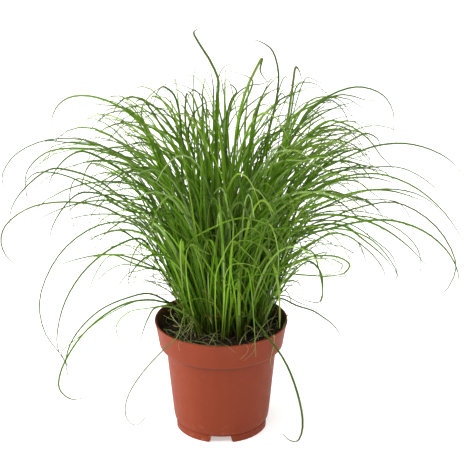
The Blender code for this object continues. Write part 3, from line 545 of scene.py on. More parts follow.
@dataclass
class Clump:
    """Where every shoot and leaf stands, by the same rules as the solids that they dress.

    Leaf lengths and widths are in millimetres and leans and droops in degrees. The dome, the skirt and
    side_reach bound the leaves as the picture shows them, in millimetres.
    """

    shoot_count: int = 46
    clump_radius: float = 42 * MM
    centre: Pair = (3 * MM, 7 * MM)
    spread: Pair = (0.92, 0.66)
    golden_angle: float = math.radians(137.508)
    soil_top: float = 92.5 * MM
    soil_crown: float = 3 * MM
    soil_fall: float = 6 * MM
    rim_radius: float = 60 * MM
    stem_depth: float = 6 * MM
    stem_radius: float = 2.3 * MM
    fork_radius: float = 1.8 * MM
    short_stem: Pair = (45 * MM, 85 * MM)
    tall_stem: float = 90 * MM
    leaf_root: float = 2.5 * MM
    rule_leaves: int = 3
    rule_segments: int = 5
    rule_steps: int = 40
    stem_tries: int = 200
    stem_scatter: float = 0.5
    stem_lean: Pair = (2, 10)
    outer_stem_lean: float = 16
    leaf_tries: int = 400
    leaf_fan: float = 1.1
    leaf_scatter: float = 0.7
    leaf_lean: Pair = (6, 20)
    outer_leaf_lean: float = 10
    leaf_droop: Pair = (35, 120)
    leaf_length: Pair = (150, 270)
    leaf_width: Pair = (1.9, 2.7)
    leaf_lateness: Pair = (1.2, 2.4)
    depth_reach: float = 150 * MM
    side_reach: float = 175
    dome_top: float = 305
    dome_fall: float = 0.0028
    skirt: float = 138
    skirt_rise: float = 0.12
    seed: int = 20

    def soil_height(self, radius: float) -> float:
        """The height of the soil's low dome at a distance from the pot's axis."""
        share = min(radius / self.rim_radius, 1.0)
        return self.soil_top + self.soil_crown - self.soil_fall * share * share

    def standing_places(self) -> list[Points]:
        """Where the shoots stand: a sunflower pattern, squeezed to leave the front of the soil bare.

        Returns:
            (x, y) places, the middle one first.
        """
        places = []
        for i in range(self.shoot_count):
            radius = self.clump_radius * math.sqrt((i + 0.5) / self.shoot_count)
            angle = i * self.golden_angle
            way = np.array([math.cos(angle), math.sin(angle)])
            places.append(np.array(self.centre) + np.array(self.spread) * radius * way)
        return places

    def assign_places(self, shoots: Sequence[Shoot]) -> tuple[list[Points], list[Points]]:
        """Gives each traced shoot the free standing place that suits its lean, low ones first.

        Args:
            shoots: The traced shoots.

        Returns:
            Their places in the same order, and the places left over.
        """
        free = self.standing_places()
        chosen = {}
        for shoot in sorted(shoots, key=lambda each: each.fork[1]):
            fork = VIEW.set_back(shoot.fork, shoot.depth * MM)
            rise = (fork[2] - self.soil_top) / (200 * MM)
            wanted = fork[:2] * (0.75 - 0.2 * rise)
            wanted *= min(1.0, self.clump_radius / max(np.linalg.norm(wanted), MM))
            best = min(range(len(free)), key=lambda i: np.linalg.norm(free[i] - wanted))
            chosen[shoot.fork] = free.pop(best)
        return [chosen[shoot.fork] for shoot in shoots], free

    def stem_path(self, place: Points, fork: Points, segments: int) -> tuple[Points, Points]:
        """A stem's line from below the soil to its fork, rising steeply before it leans.

        Args:
            place: Where it stands, as (x, y).
            fork: Where its leaves part.
            segments: The number of its straight segments above the soil.

        Returns:
            The line in straight segments, and as a fine curve.
        """
        foot = np.array([*place, self.soil_height(np.linalg.norm(place))])
        rise = fork[2] - foot[2]
        lean = fork[:2] - place
        above = np.array([*(place + lean * 0.22), foot[2] + 0.34 * rise])
        root = foot - unit(above - foot) * self.stem_depth
        curve = smooth_curve([foot, above, fork])
        return np.concatenate([[root], thinned(curve, segments)]), np.concatenate([[root], curve])

    def stem_radii(self, count: int) -> list[float]:
        """The radius at each of a stem's points."""
        taper = self.fork_radius - self.stem_radius
        return [self.stem_radius + taper * i / (count - 1) for i in range(count)]

    def half_widths(self, width: float, count: int) -> list[float]:
        """Half a leaf's width at each of its points, from its root to its hair-fine tip.

        Args:
            width: The full width at its widest, in metres.
            count: The number of points.

        Returns:
            The half widths.
        """
        halves = []
        for i in range(count):
            share = i / (count - 1)
            swell = min(1.0, 0.7 + 2 * share)
            halves.append(0.5 * width * swell * (0.22 + 0.78 * (1 - share) ** 0.8))
        return halves

    def leaf_start(self, stem: Points) -> Points:
        """Where a leaf's line begins, a little below its stem's top."""
        return stem[-1] - unit(stem[-1] - stem[-2]) * self.leaf_root

    def traced_curve(self, stem: Points, leaf: Leaf, shift: float) -> Points:
        """A traced leaf in space, set back evenly from the fork's depth to its tip's.

        Args:
            stem: The stem's points, the fork last.
            leaf: The traced leaf.
            shift: What is added to the depth of its tip, in millimetres.

        Returns:
            The leaf's fine curve.
        """
        flat = [VIEW.as_seen(stem[-1:])[0] / MM] + [np.array(p, float) for p in leaf.line]
        lengths = np.linalg.norm(np.diff(flat, axis=0), axis=1)
        shares = np.cumsum(lengths) / lengths.sum()
        depth = stem[-1][1]
        tip = (leaf.tip_depth + shift) * MM
        placed = [VIEW.set_back(p, depth + (tip - depth) * s) for p, s in zip(leaf.line, shares)]
        return smooth_curve([self.leaf_start(stem), *placed])

    def rule_curve(self, start: Points, azimuth: float, lean: float, length: float, droop: float,
                   power: float) -> Points:
        """A leaf that leans out from its stem and droops more and more towards its tip.

        Args:
            start: Its root.
            azimuth: The level direction that it leans in.
            lean: Its angle from upright at its root.
            length: Its length.
            droop: How much further over it hangs at its tip.
            power: How late the drooping comes.

        Returns:
            The leaf's fine curve.
        """
        point = np.array(start, float)
        points = [point]
        for i in range(self.rule_steps):
            share = (i + 0.5) / self.rule_steps
            angle = lean + droop * share ** power
            way = (math.sin(angle) * math.cos(azimuth), math.sin(angle) * math.sin(azimuth), math.cos(angle))
            point = point + np.array(way) * length / self.rule_steps
            points.append(point)
        return np.array(points)

    def inside_fountain(self, path: Points) -> bool:
        """Whether a leaf stays inside the plant's outline, and clear above the soil in front.

        Args:
            path: The leaf's corners.

        Returns:
            True where it does.
        """
        seen = VIEW.as_seen(path) / MM
        aside, height = np.abs(seen[:, 0]), seen[:, 1]
        under_dome = np.all(height < self.dome_top - self.dome_fall * aside ** 2)
        over_skirt = np.all(height[2:] > self.skirt + self.skirt_rise * aside[2:])
        near = np.abs(path[:, 1]).max() < self.depth_reach and aside.max() < self.side_reach
        return bool(near and under_dome and over_skirt)

    def outward_steps(self, count: int, size: float) -> list[float]:
        """0, then size to one side and to the other, then twice size, and so on."""
        return [((step + 1) // 2) * size * (-1) ** step for step in range(count)]

    def grow_traced(self, spacing: Spacing, places: Sequence[Points]) -> list[GrownShoot]:
        """Grows the traced shoots, each shifted in depth until it is clear of the others.

        Args:
            spacing: What is placed so far.
            places: Where each of them stands.

        Returns:
            The grown shoots.
        """
        grown = []
        for number, (shoot, place) in enumerate(zip(SEEN_SHOOTS, places)):
            for shift in self.outward_steps(50, 3):
                fork = VIEW.set_back(shoot.fork, (shoot.depth + shift) * MM)
                tall = fork[2] > self.soil_top + self.tall_stem
                stem, curve = self.stem_path(place, fork, 3 if tall else 2)
                if spacing.free(number, stem, self.stem_radii(len(stem))):
                    break
            spacing.keep(number, stem, self.stem_radii(len(stem)))
            grown.append(GrownShoot(stem, curve))
        for number, (shoot, made) in enumerate(zip(SEEN_SHOOTS, grown)):
            for leaf in shoot.leaves:
                halves = self.half_widths(leaf.width * MM, leaf.segments + 1)
                for shift in self.outward_steps(60, 3):
                    curve = self.traced_curve(made.stem, leaf, shift)
                    path = thinned(curve, leaf.segments)
                    if spacing.free(number, path, halves):
                        break
                spacing.keep(number, path, halves)
                made.leaves.append((curve, leaf.width * MM))
        return grown

    def grow_by_rule(self, spacing: Spacing, places: Sequence[Points], first: int) -> list[GrownShoot]:
        """Grows the shoots inside the clump.

        Args:
            spacing: What is placed so far.
            places: Where each of them stands.
            first: The number of the first of them.

        Returns:
            The grown shoots.
        """
        random = np.random.default_rng(self.seed)
        grown = []
        for number, place in enumerate(places, start=first):
            out = (place - self.centre) / self.spread
            share = np.linalg.norm(out) / self.clump_radius
            heading = math.atan2(out[1], out[0])
            for _ in range(self.stem_tries):
                azimuth = heading + random.uniform(-self.stem_scatter, self.stem_scatter)
                lean = math.radians(random.uniform(*self.stem_lean) + self.outer_stem_lean * share)
                height = random.uniform(*self.short_stem)
                way = np.array([math.cos(azimuth), math.sin(azimuth)])
                fork = np.array([*(place + way * height * math.tan(lean)), self.soil_top + height])
                stem, stem_curve = self.stem_path(place, fork, 2)
                if spacing.free(number, stem, self.stem_radii(len(stem))):
                    break
            spacing.keep(number, stem, self.stem_radii(len(stem)))
            made = GrownShoot(stem, stem_curve)
            for leaf in range(self.rule_leaves):
                fan = (leaf - (self.rule_leaves - 1) / 2) * self.leaf_fan
                for _ in range(self.leaf_tries):
                    turn = azimuth + fan + random.uniform(-self.leaf_scatter, self.leaf_scatter)
                    lean = math.radians(random.uniform(*self.leaf_lean) + self.outer_leaf_lean * share)
                    droop = math.radians(random.uniform(*self.leaf_droop))
                    length = random.uniform(*self.leaf_length) * MM
                    width = random.uniform(*self.leaf_width) * MM
                    halves = self.half_widths(width, self.rule_segments + 1)
                    curve = self.rule_curve(self.leaf_start(stem), turn, lean, length, droop,
                                            random.uniform(*self.leaf_lateness))
                    path = thinned(curve, self.rule_segments)
                    if self.inside_fountain(path) and spacing.free(number, path, halves):
                        spacing.keep(number, path, halves)
                        made.leaves.append((curve, width))
                        break
            grown.append(made)
        return grown

    def grow(self) -> list[GrownShoot]:
        """Grows every shoot.

        Returns:
            The shoots, in the order of the solids shoot_01 to shoot_46.
        """
        spacing = Spacing()
        traced_places, other_places = self.assign_places(SEEN_SHOOTS)
        grown = self.grow_traced(spacing, traced_places)
        return grown + self.grow_by_rule(spacing, other_places, len(grown))


class Section(Enum):
    """The two sections that a strand is swept with."""

    BLADE = "a keeled, channelled leaf"
    STEM = "a blunt three-edged stem"


@dataclass
class Strand:
    """One leaf, stem or thread: its line, its half width at each point, and how it looks."""

    path: Points
    halves: Sequence[float]
    section: Section = Section.BLADE
    tone: float = 0.0
    dryness: float = 0.0
    twist: float = 0.0
    inner: bool = False

    def sides(self) -> Points:
        """The direction across the strand at each of its points.

        Returns:
            Unit vectors square to the path, turned along it by the twist.
        """
        lean = level_lean(self.path)
        level = np.array([-lean[1], lean[0], 0.0])
        last = len(self.path) - 1
        made = []
        for i in range(last + 1):
            way = unit(self.path[min(i + 1, last)] - self.path[max(i - 1, 0)])
            across = unit(level - way * level.dot(way))
            angle = self.twist * i / last
            made.append(across * math.cos(angle) + np.cross(way, across) * math.sin(angle))
        return np.array(made)

    def along(self) -> Points:
        """How far along the strand each point lies, 0 at the root and 1 at the tip."""
        lengths = np.concatenate([[0], np.cumsum(np.linalg.norm(np.diff(self.path, axis=0), axis=1))])
        return lengths / lengths[-1]


def new_object(name: str, data: bpy.types.ID) -> Piece:
    """An object linked to the scene.

    Args:
        name: Its name.
        data: Its mesh, light or camera.

    Returns:
        The object.
    """
    thing = bpy.data.objects.new(name, data)
    bpy.context.scene.collection.objects.link(thing)
    return thing


def kept_mesh(name: str, bm: bmesh.types.BMesh) -> bpy.types.Mesh:
    """A mesh that keeps what a working mesh holds, which is freed.

    Args:
        name: The mesh's name.
        bm: The working mesh.

    Returns:
        The mesh.
    """
    mesh = bpy.data.meshes.new(name)
    bm.to_mesh(mesh)
    bm.free()
    return mesh


def settled_mesh(thing: Piece) -> bpy.types.Mesh:
    """Takes an object's modifiers off and gives it their result as its plain mesh.

    Args:
        thing: The object.

    Returns:
        The mesh.
    """
    depsgraph = bpy.context.evaluated_depsgraph_get()
    mesh = bpy.data.meshes.new_from_object(thing.evaluated_get(depsgraph), depsgraph=depsgraph)
    old = thing.data
    thing.modifiers.clear()
    thing.data = mesh
    bpy.data.meshes.remove(old)
    return mesh


def strand_lines(name: str, strands: Sequence[Strand]) -> Piece:
    """Loose lines for strands, with what the sweep and the finish read as named attributes.

    Args:
        name: The object's name.
        strands: The strands.

    Returns:
        An object of edges without faces.
    """
    edges, start = [], 0
    for strand in strands:
        edges += [(start + i, start + i + 1) for i in range(len(strand.path) - 1)]
        start += len(strand.path)
    mesh = bpy.data.meshes.new(name)
    mesh.from_pydata(np.concatenate([s.path for s in strands]).tolist(), edges, [])
    counts = [len(s.path) for s in strands]
    values = {
        "half": np.concatenate([np.asarray(s.halves, float) for s in strands]),
        "along": np.concatenate([s.along() for s in strands]),
        "tone": np.repeat([s.tone for s in strands], counts),
        "dry": np.repeat([s.dryness for s in strands], counts),
        "stem": np.repeat([float(s.section is Section.STEM) for s in strands], counts),
    }
    for key, numbers in values.items():
        mesh.attributes.new(key, "FLOAT", "POINT").data.foreach_set("value", numbers)
    sides = np.concatenate([s.sides() for s in strands])
    mesh.attributes.new("side", "FLOAT_VECTOR", "POINT").data.foreach_set("vector", sides.ravel())
    return new_object(name, mesh)


class NodeSheet:
    """Adds nodes to a node tree, and links what is handed to them as sockets."""

    def __init__(self, tree: bpy.types.NodeTree) -> None:
        """Works on one tree."""
        self.tree = tree

    def add(self, kind: str, settings: dict[str, object] | None = None, **inputs: object) -> bpy.types.Node:
        """Adds a node.

        Args:
            kind: The node's type.
            settings: Properties of the node itself, set before its sockets.
            inputs: Values or sockets by socket name, with _ for a space, or by i0, i1 and so on.

        Returns:
            The node.
        """
        node = self.tree.nodes.new(kind)
        for key, value in (settings or {}).items():
            setattr(node, key, value)
        for key, value in inputs.items():
            by_place = key[0] == "i" and key[1:].isdigit()
            socket = node.inputs[int(key[1:])] if by_place else node.inputs[key.replace("_", " ")]
            if isinstance(value, Socket):
                self.tree.links.new(value, socket)
            else:
                socket.default_value = value
        return node

    def math(self, operation: str, a: object, b: object = 0.0) -> Socket:
        """The result of a sum on two numbers or sockets."""
        return self.add("ShaderNodeMath", {"operation": operation}, i0=a, i1=b).outputs[0]


class GrowthTree:
    """A geometry tree with named inputs, which ends in Realize Instances and Set Material."""

    INPUTS: tuple[tuple[str, str, object], ...] = ()

    def __init__(self, name: str) -> None:
        """Builds the tree from its inputs to its end.

        Args:
            name: The tree's name.
        """
        self.tree = bpy.data.node_groups.new(name, "GeometryNodeTree")
        face = self.tree.interface
        face.new_socket("Geometry", in_out="INPUT", socket_type="NodeSocketGeometry")
        for label, kind, value in self.INPUTS:
            socket = face.new_socket(label, in_out="INPUT", socket_type=kind)
            if value is not None:
                socket.default_value = value
        face.new_socket("Geometry", in_out="OUTPUT", socket_type="NodeSocketGeometry")
        self.sheet = NodeSheet(self.tree)
        add = self.sheet.add
        given = add("NodeGroupInput").outputs
        real = add("GeometryNodeRealizeInstances", Geometry=self.grown(given))
        dressed = add("GeometryNodeSetMaterial", Geometry=real.outputs[0], Material=given["Material"])
        add("NodeGroupOutput", Geometry=dressed.outputs[0])

    def grown(self, given: bpy.types.NodeOutputs) -> Socket:
        """The geometry that the tree makes of its inputs."""
        raise NotImplementedError


class SweepTree(GrowthTree):
    """A geometry tree that gives each line its section: a channelled blade or a blunt stem."""

    INPUTS = (
        ("Edge lift", "NodeSocketFloat", 0.46),
        ("Groove", "NodeSocketFloat", -0.3),
        ("Keel", "NodeSocketFloat", 0.8),
        ("Stem sides", "NodeSocketInt", 9),
        ("Stem size", "NodeSocketFloat", 0.92),
        ("Stem bulge", "NodeSocketFloat", 0.1),
        ("Material", "NodeSocketMaterial", None),
    )

    def grown(self, given: bpy.types.NodeOutputs) -> Socket:
        """Sweeps the stems and the blades.

        Args:
            given: The tree's inputs.

        Returns:
            Both together.
        """
        stem = self.sheet.math("GREATER_THAN", self.number("stem"), 0.5)
        split = self.sheet.add("GeometryNodeSeparateGeometry", {"domain": "POINT"}, Selection=stem,
                               Geometry=given["Geometry"])
        stems = self.swept(split.outputs["Selection"], self.stem_section(given))
        blades = self.swept(split.outputs["Inverted"], self.blade_section(given))
        both = self.sheet.add("GeometryNodeJoinGeometry")
        self.tree.links.new(stems, both.inputs[0])
        self.tree.links.new(blades, both.inputs[0])
        return both.outputs[0]

    def number(self, name: str) -> Socket:
        """A named number of each point."""
        return self.sheet.add("GeometryNodeInputNamedAttribute", {"data_type": "FLOAT"}, Name=name).outputs[0]

    def swept(self, lines: Socket, section: Socket) -> Socket:
        """Sweeps a section along lines, facing and sized as their points say.

        Args:
            lines: The loose lines.
            section: The closed section.

        Returns:
            The swept mesh, its ends closed.
        """
        add = self.sheet.add
        curve = add("GeometryNodeMeshToCurve", Mesh=lines)
        side = add("GeometryNodeInputNamedAttribute", {"data_type": "FLOAT_VECTOR"}, Name="side")
        faced = add("GeometryNodeSetCurveNormal", {"mode": "FREE"}, Curve=curve.outputs[0],
                    Normal=side.outputs[0])
        mesh = add("GeometryNodeCurveToMesh", Curve=faced.outputs[0], Profile_Curve=section,
                   Scale=self.number("half"), Fill_Caps=True)
        return mesh.outputs[0]

    def blade_section(self, given: bpy.types.NodeOutputs) -> Socket:
        """A leaf's section: two raised edges, a groove between them and a keel below.

        Args:
            given: The tree's inputs.

        Returns:
            The closed section.
        """
        add = self.sheet.add
        corners = [
            add("ShaderNodeCombineXYZ", X=-1.0, Y=given["Edge lift"]),
            add("ShaderNodeCombineXYZ", X=0.0, Y=self.sheet.math("MULTIPLY", given["Keel"], -1.0)),
            add("ShaderNodeCombineXYZ", X=1.0, Y=given["Edge lift"]),
            add("ShaderNodeCombineXYZ", X=0.0, Y=given["Groove"]),
        ]
        shape = add("GeometryNodeCurvePrimitiveQuadrilateral", {"mode": "POINTS"},
                    **{f"Point_{i + 1}": corner.outputs[0] for i, corner in enumerate(corners)})
        return self.with_across(shape.outputs[0])

    def stem_section(self, given: bpy.types.NodeOutputs) -> Socket:
        """A stem's section: a circle that bulges a little at its three edges.

        Args:
            given: The tree's inputs.

        Returns:
            The closed section.
        """
        add = self.sheet.add
        circle = add("GeometryNodeCurvePrimitiveCircle", {"mode": "RADIUS"}, Resolution=given["Stem sides"],
                     Radius=given["Stem size"])
        place = add("GeometryNodeInputPosition").outputs[0]
        parts = add("ShaderNodeSeparateXYZ", Vector=place).outputs
        angle = self.sheet.math("ARCTAN2", parts["X"], parts["Y"])
        wave = self.sheet.math("COSINE", self.sheet.math("MULTIPLY", angle, 3.0))
        factor = self.sheet.math("ADD", self.sheet.math("MULTIPLY", wave, given["Stem bulge"]), 1.0)
        scaled = add("ShaderNodeVectorMath", {"operation": "SCALE"}, Vector=place, Scale=factor)
        bulged = add("GeometryNodeSetPosition", Geometry=circle.outputs[0], Position=scaled.outputs[0])
        return self.with_across(bulged.outputs[0])

    def with_across(self, section: Socket) -> Socket:
        """Stores each section point's place across, which the finish's ribs follow.

        Args:
            section: The section.

        Returns:
            The section with the places.
        """
        place = self.sheet.add("GeometryNodeInputPosition").outputs[0]
        parts = self.sheet.add("ShaderNodeSeparateXYZ", Vector=place)
        stored = self.sheet.add("GeometryNodeStoreNamedAttribute", {"data_type": "FLOAT", "domain": "POINT"},
                                Geometry=section, Name="across", Value=parts.outputs["X"])
        return stored.outputs[0]


class CrumbTree(GrowthTree):
    """A geometry tree that strews crumbs over a surface."""

    INPUTS = (
        ("Density", "NodeSocketFloat", 90000.0),
        ("Smallest", "NodeSocketFloat", 0.35 * MM),
        ("Largest", "NodeSocketFloat", 1.5 * MM),
        ("Seed", "NodeSocketInt", 5),
        ("Material", "NodeSocketMaterial", None),
    )

    def grown(self, given: bpy.types.NodeOutputs) -> Socket:
        """Strews crumbs of many sizes, each squashed and turned its own way.

        Args:
            given: The tree's inputs.

        Returns:
            The crumbs, as instances.
        """
        add, seed = self.sheet.add, given["Seed"]
        spots = add("GeometryNodeDistributePointsOnFaces", Mesh=given["Geometry"], Density=given["Density"],
                    Seed=seed)
        crumb = add("GeometryNodeMeshIcoSphere", Radius=1.0, Subdivisions=1)
        squash = add("FunctionNodeRandomValue", {"data_type": "FLOAT_VECTOR"}, i0=(0.7, 0.6, 0.5),
                     i1=(1.3, 1.1, 0.9), Seed=seed)
        size = add("FunctionNodeRandomValue", {"data_type": "FLOAT"}, i2=given["Smallest"],
                   i3=given["Largest"], Seed=seed)
        shape = add("ShaderNodeVectorMath", {"operation": "SCALE"}, Vector=squash.outputs[0],
                    Scale=size.outputs[1])
        turn = add("FunctionNodeRandomValue", {"data_type": "FLOAT_VECTOR"}, i0=(0.0, 0.0, 0.0),
                   i1=(6.28, 6.28, 6.28), Seed=seed)
        placed = add("GeometryNodeInstanceOnPoints", Points=spots.outputs["Points"],
                     Instance=crumb.outputs["Mesh"], Rotation=turn.outputs[0], Scale=shape.outputs[0])
        return placed.outputs[0]


def grow_mesh(thing: Piece, tree: bpy.types.NodeTree, values: dict[str, object]) -> None:
    """Runs a geometry tree on an object and keeps the result, its faces outwards, as its plain mesh.

    Args:
        thing: The object, whose mesh is the tree's input.
        tree: The geometry tree.
        values: The tree's inputs by name.
    """
    modifier = thing.modifiers.new("grow", "NODES")
    modifier.node_group = tree
    for item in tree.interface.items_tree:
        if item.item_type == "SOCKET" and item.in_out == "INPUT" and item.name in values:
            modifier[item.identifier] = values[item.name]
    thing.update_tag()
    mesh = settled_mesh(thing)
    bm = bmesh.new()
    bm.from_mesh(mesh)
    bmesh.ops.recalc_face_normals(bm, faces=bm.faces)
    bm.to_mesh(mesh)
    bm.free()


class FinishSheet(NodeSheet):
    """A node material around one surface shader."""

    def __init__(self, name: str, **surface: object) -> None:
        """Starts a material.

        Args:
            name: Its name.
            surface: Values for its surface, by socket name with _ for a space.
        """
        self.material = bpy.data.materials.new(name)
        self.material.use_nodes = True
        super().__init__(self.material.node_tree)
        self.surface = self.tree.nodes["Principled BSDF"]
        for key, value in surface.items():
            self.surface.inputs[key.replace("_", " ")].default_value = value

    def place(self) -> Socket:
        """The object's own coordinates."""
        return self.add("ShaderNodeTexCoord").outputs["Object"]

    def value(self, name: str) -> Socket:
        """A named number of the mesh."""
        return self.add("ShaderNodeAttribute", {"attribute_name": name}).outputs["Fac"]

    def noise(self, scale: float, detail: float = 3.0, at: Socket | None = None) -> Socket:
        """Soft noise from 0 to 1, scale patches to the metre, on the object's coordinates or on at."""
        node = self.add("ShaderNodeTexNoise", Vector=at or self.place(), Scale=scale, Detail=detail)
        return node.outputs[0]

    def ramp(self, factor: Socket, stops: Sequence[tuple[float, Sequence[float]]]) -> Socket:
        """A colour that changes along stops.

        Args:
            factor: What it follows.
            stops: Places from 0 to 1 with their linear colours.

        Returns:
            The colour.
        """
        node = self.add("ShaderNodeValToRGB", Fac=factor)
        elements = node.color_ramp.elements
        while len(elements) < len(stops):
            elements.new(0.5)
        for element, (position, colour) in zip(elements, stops):
            element.position = position
            element.color = (*colour, 1.0)
        return node.outputs[0]

    def span(self, value: Socket, low: float, high: float, to_low: float = 0.0,
             to_high: float = 1.0) -> Socket:
        """Maps a range of a value to another range, held at its ends."""
        return self.add("ShaderNodeMapRange", i0=value, i1=low, i2=high, i3=to_low, i4=to_high).outputs[0]

    def mix(self, factor: object, a: object, b: object) -> Socket:
        """Mixes two colours.

        Args:
            factor: The share of the second.
            a: The first, as a colour or a socket.
            b: The second.

        Returns:
            The mixed colour.
        """
        node = self.add("ShaderNodeMix", {"data_type": "RGBA"})
        for place, value in ((0, factor), (6, a), (7, b)):
            if isinstance(value, Socket):
                self.tree.links.new(value, node.inputs[place])
            else:
                node.inputs[place].default_value = (*value, 1.0) if isinstance(value, tuple) else value
        return node.outputs[2]

    def set(self, socket: str, value: Socket) -> None:
        """Links a value to one of the surface's sockets."""
        self.tree.links.new(value, self.surface.inputs[socket])

    def bump(self, height: Socket, distance: float, strength: float = 1.0) -> None:
        """Gives the surface a low relief of a height in metres."""
        node = self.add("ShaderNodeBump", Height=height, Distance=distance, Strength=strength)
        self.set("Normal", node.outputs[0])


@dataclass(frozen=True)
class SedgeGreen:
    """Fresh sedge leaf: grass green, paler at its root, greyer at its tip, with fine ribs. Painted shade
    darkens the lower part of each leaf and the low tones, painted light brightens the high tones, and the
    highest get a painted sheen.
    """

    foot: Triple = (0.11, 0.065, 0.025)
    root: Triple = (0.15, 0.15, 0.03)
    # painted shade: the lower part of each leaf is made darker, for the shade inside the clump
    lower: Triple = (0.025, 0.088, 0.0008)
    upper: Triple = (0.112, 0.262, 0.005)
    tip: Triple = (0.092, 0.108, 0.046)
    # low tones mix towards this dark green: partly a darker leaf colour, partly painted shade
    deep_and_shade: Triple = (0.011, 0.058, 0.0004)
    # high tones mix towards this pale yellow-green: partly a paler leaf colour, partly painted light; the
    # streaks use it as well
    painted_light_and_streak: Triple = (0.27, 0.43, 0.045)
    # painted sheen: the pale reflection given to the highest tones
    painted_sheen: Triple = (0.33, 0.45, 0.21)
    straw: Triple = (0.34, 0.23, 0.09)
    roughness: float = 0.4

    def make(self) -> Finish:
        """Builds the finish, which reads the strands' own attributes.

        Returns:
            The material.
        """
        sheet = FinishSheet("sedge_green", Roughness=self.roughness, Specular_IOR_Level=0.05)
        along, across = sheet.value("along"), sheet.value("across")
        tone, dryness = sheet.value("tone"), sheet.value("dry")
        base = sheet.ramp(along, [(0.0, self.foot), (0.06, self.root), (0.17, self.lower), (0.5, self.upper),
                                  (0.68, self.upper), (0.92, self.tip)])
        # Low tones darken: partly darker leaves, partly painted shade on inner, far and front-hanging blades;
        # the lowest go grey-olive
        deep_and_shaded = sheet.mix(sheet.span(tone, 0.0, -1.0, 0.0, 0.85), base, self.deep_and_shade)
        dusky_and_shaded = sheet.mix(sheet.span(tone, -1.1, -2.0, 0.0, 0.9), deep_and_shaded, self.tip)
        # High tones brighten: partly paler leaves, partly painted light
        painted_light_mix = sheet.mix(sheet.span(tone, 0.0, 1.0, 0.0, 0.6), dusky_and_shaded, self.painted_light_and_streak)
        # painted sheen: tones above 1 turn towards a pale reflection colour
        painted_sheen_mix = sheet.mix(sheet.span(tone, 1.0, 2.0, 0.0, 0.85), painted_light_mix, self.painted_sheen)
        streak_place = sheet.add("ShaderNodeCombineXYZ", X=across, Y=along, Z=tone).outputs[0]
        stretched = sheet.add("ShaderNodeVectorMath", {"operation": "MULTIPLY"}, i0=streak_place,
                              i1=(3.0, 9.0, 40.0))
        streaks = sheet.noise(1.0, 4.0, stretched.outputs[0])
        streaked = sheet.mix(sheet.span(streaks, 0.35, 0.75, 0.0, 0.35), painted_sheen_mix, self.painted_light_and_streak)
        dry = sheet.math("MULTIPLY", dryness, sheet.span(streaks, 0.2, 0.6, 0.55, 1.0))
        sheet.set("Base Color", sheet.mix(dry, streaked, self.straw))
        sheet.set("Roughness", sheet.span(streaks, 0.2, 0.8, self.roughness - 0.07, self.roughness + 0.1))
        ribs = sheet.math("SINE", sheet.math("MULTIPLY", across, 17.0))
        sheet.bump(sheet.math("ADD", ribs, streaks), 0.00006, 0.5)
        return sheet.material


@dataclass(frozen=True)
class TerracottaPlastic:
    """Moulded plastic of a terracotta colour: satin, with faint flow marks, scuffs and dried splashes, and a
    band of painted shade on the body under the collar.

    Each range is one of heights, over which a mark sets in or fades.
    """

    body: Triple = (0.200, 0.031, 0.0098)
    warm: Triple = (0.226, 0.038, 0.0122)
    dust: Triple = (0.30, 0.13, 0.08)
    # soil colour: the specks near the rim, and the painted shade under the collar
    soil: Triple = (0.05, 0.03, 0.018)
    splashes: Pair = (22 * MM, 0.0)
    # heights over which the painted shade under the collar sets in and fades
    collar_shade_start: Pair = (74.5 * MM, 79.5 * MM)
    collar_shade_end: Pair = (80.2 * MM, 80.7 * MM)
    rim_specks: Pair = (87 * MM, 104.5 * MM)
    roughness: float = 0.52

    def make(self) -> Finish:
        """Builds the finish of the pot's outside.

        Returns:
            The material.
        """
        sheet = FinishSheet("terracotta_plastic", Roughness=self.roughness, Specular_IOR_Level=0.13)
        place = sheet.place()
        tall = sheet.add("ShaderNodeMapping", Vector=place, Scale=(1.0, 1.0, 0.16)).outputs[0]
        flow = sheet.noise(46.0, 3.0, tall)
        colour = sheet.mix(sheet.span(flow, 0.35, 0.7, 0.0, 0.7), self.body, self.warm)
        height = sheet.add("ShaderNodeSeparateXYZ", Vector=place).outputs["Z"]
        low = sheet.span(height, *self.splashes)
        patches = sheet.span(sheet.noise(210.0, 5.0), 0.56, 0.74)
        grime = sheet.math("ADD", sheet.math("MULTIPLY", low, 0.5), 0.07)
        dusty = sheet.mix(sheet.math("MULTIPLY", patches, grime), colour, self.dust)
        specks = sheet.span(sheet.noise(900.0, 2.0), 0.735, 0.78)
        rim = sheet.span(height, *self.rim_specks, 0.15, 0.8)
        # painted shade: the body darkens just under the collar, where the collar's shadow falls
        collar_shade = sheet.math("MULTIPLY", sheet.span(height, *self.collar_shade_start, 0.0, 0.5),
                            sheet.span(height, *self.collar_shade_end, 1.0, 0.0))
        collar_shaded = sheet.mix(collar_shade, dusty, self.soil)
        sheet.set("Base Color", sheet.mix(sheet.math("MULTIPLY", specks, rim), collar_shaded, self.soil))
        wear = sheet.noise(130.0, 6.0)
        sheet.set("Roughness", sheet.span(wear, 0.25, 0.75, self.roughness - 0.06, self.roughness + 0.1))
        sheet.bump(sheet.noise(2600.0, 2.0), 0.00005, 0.35)
        return sheet.material


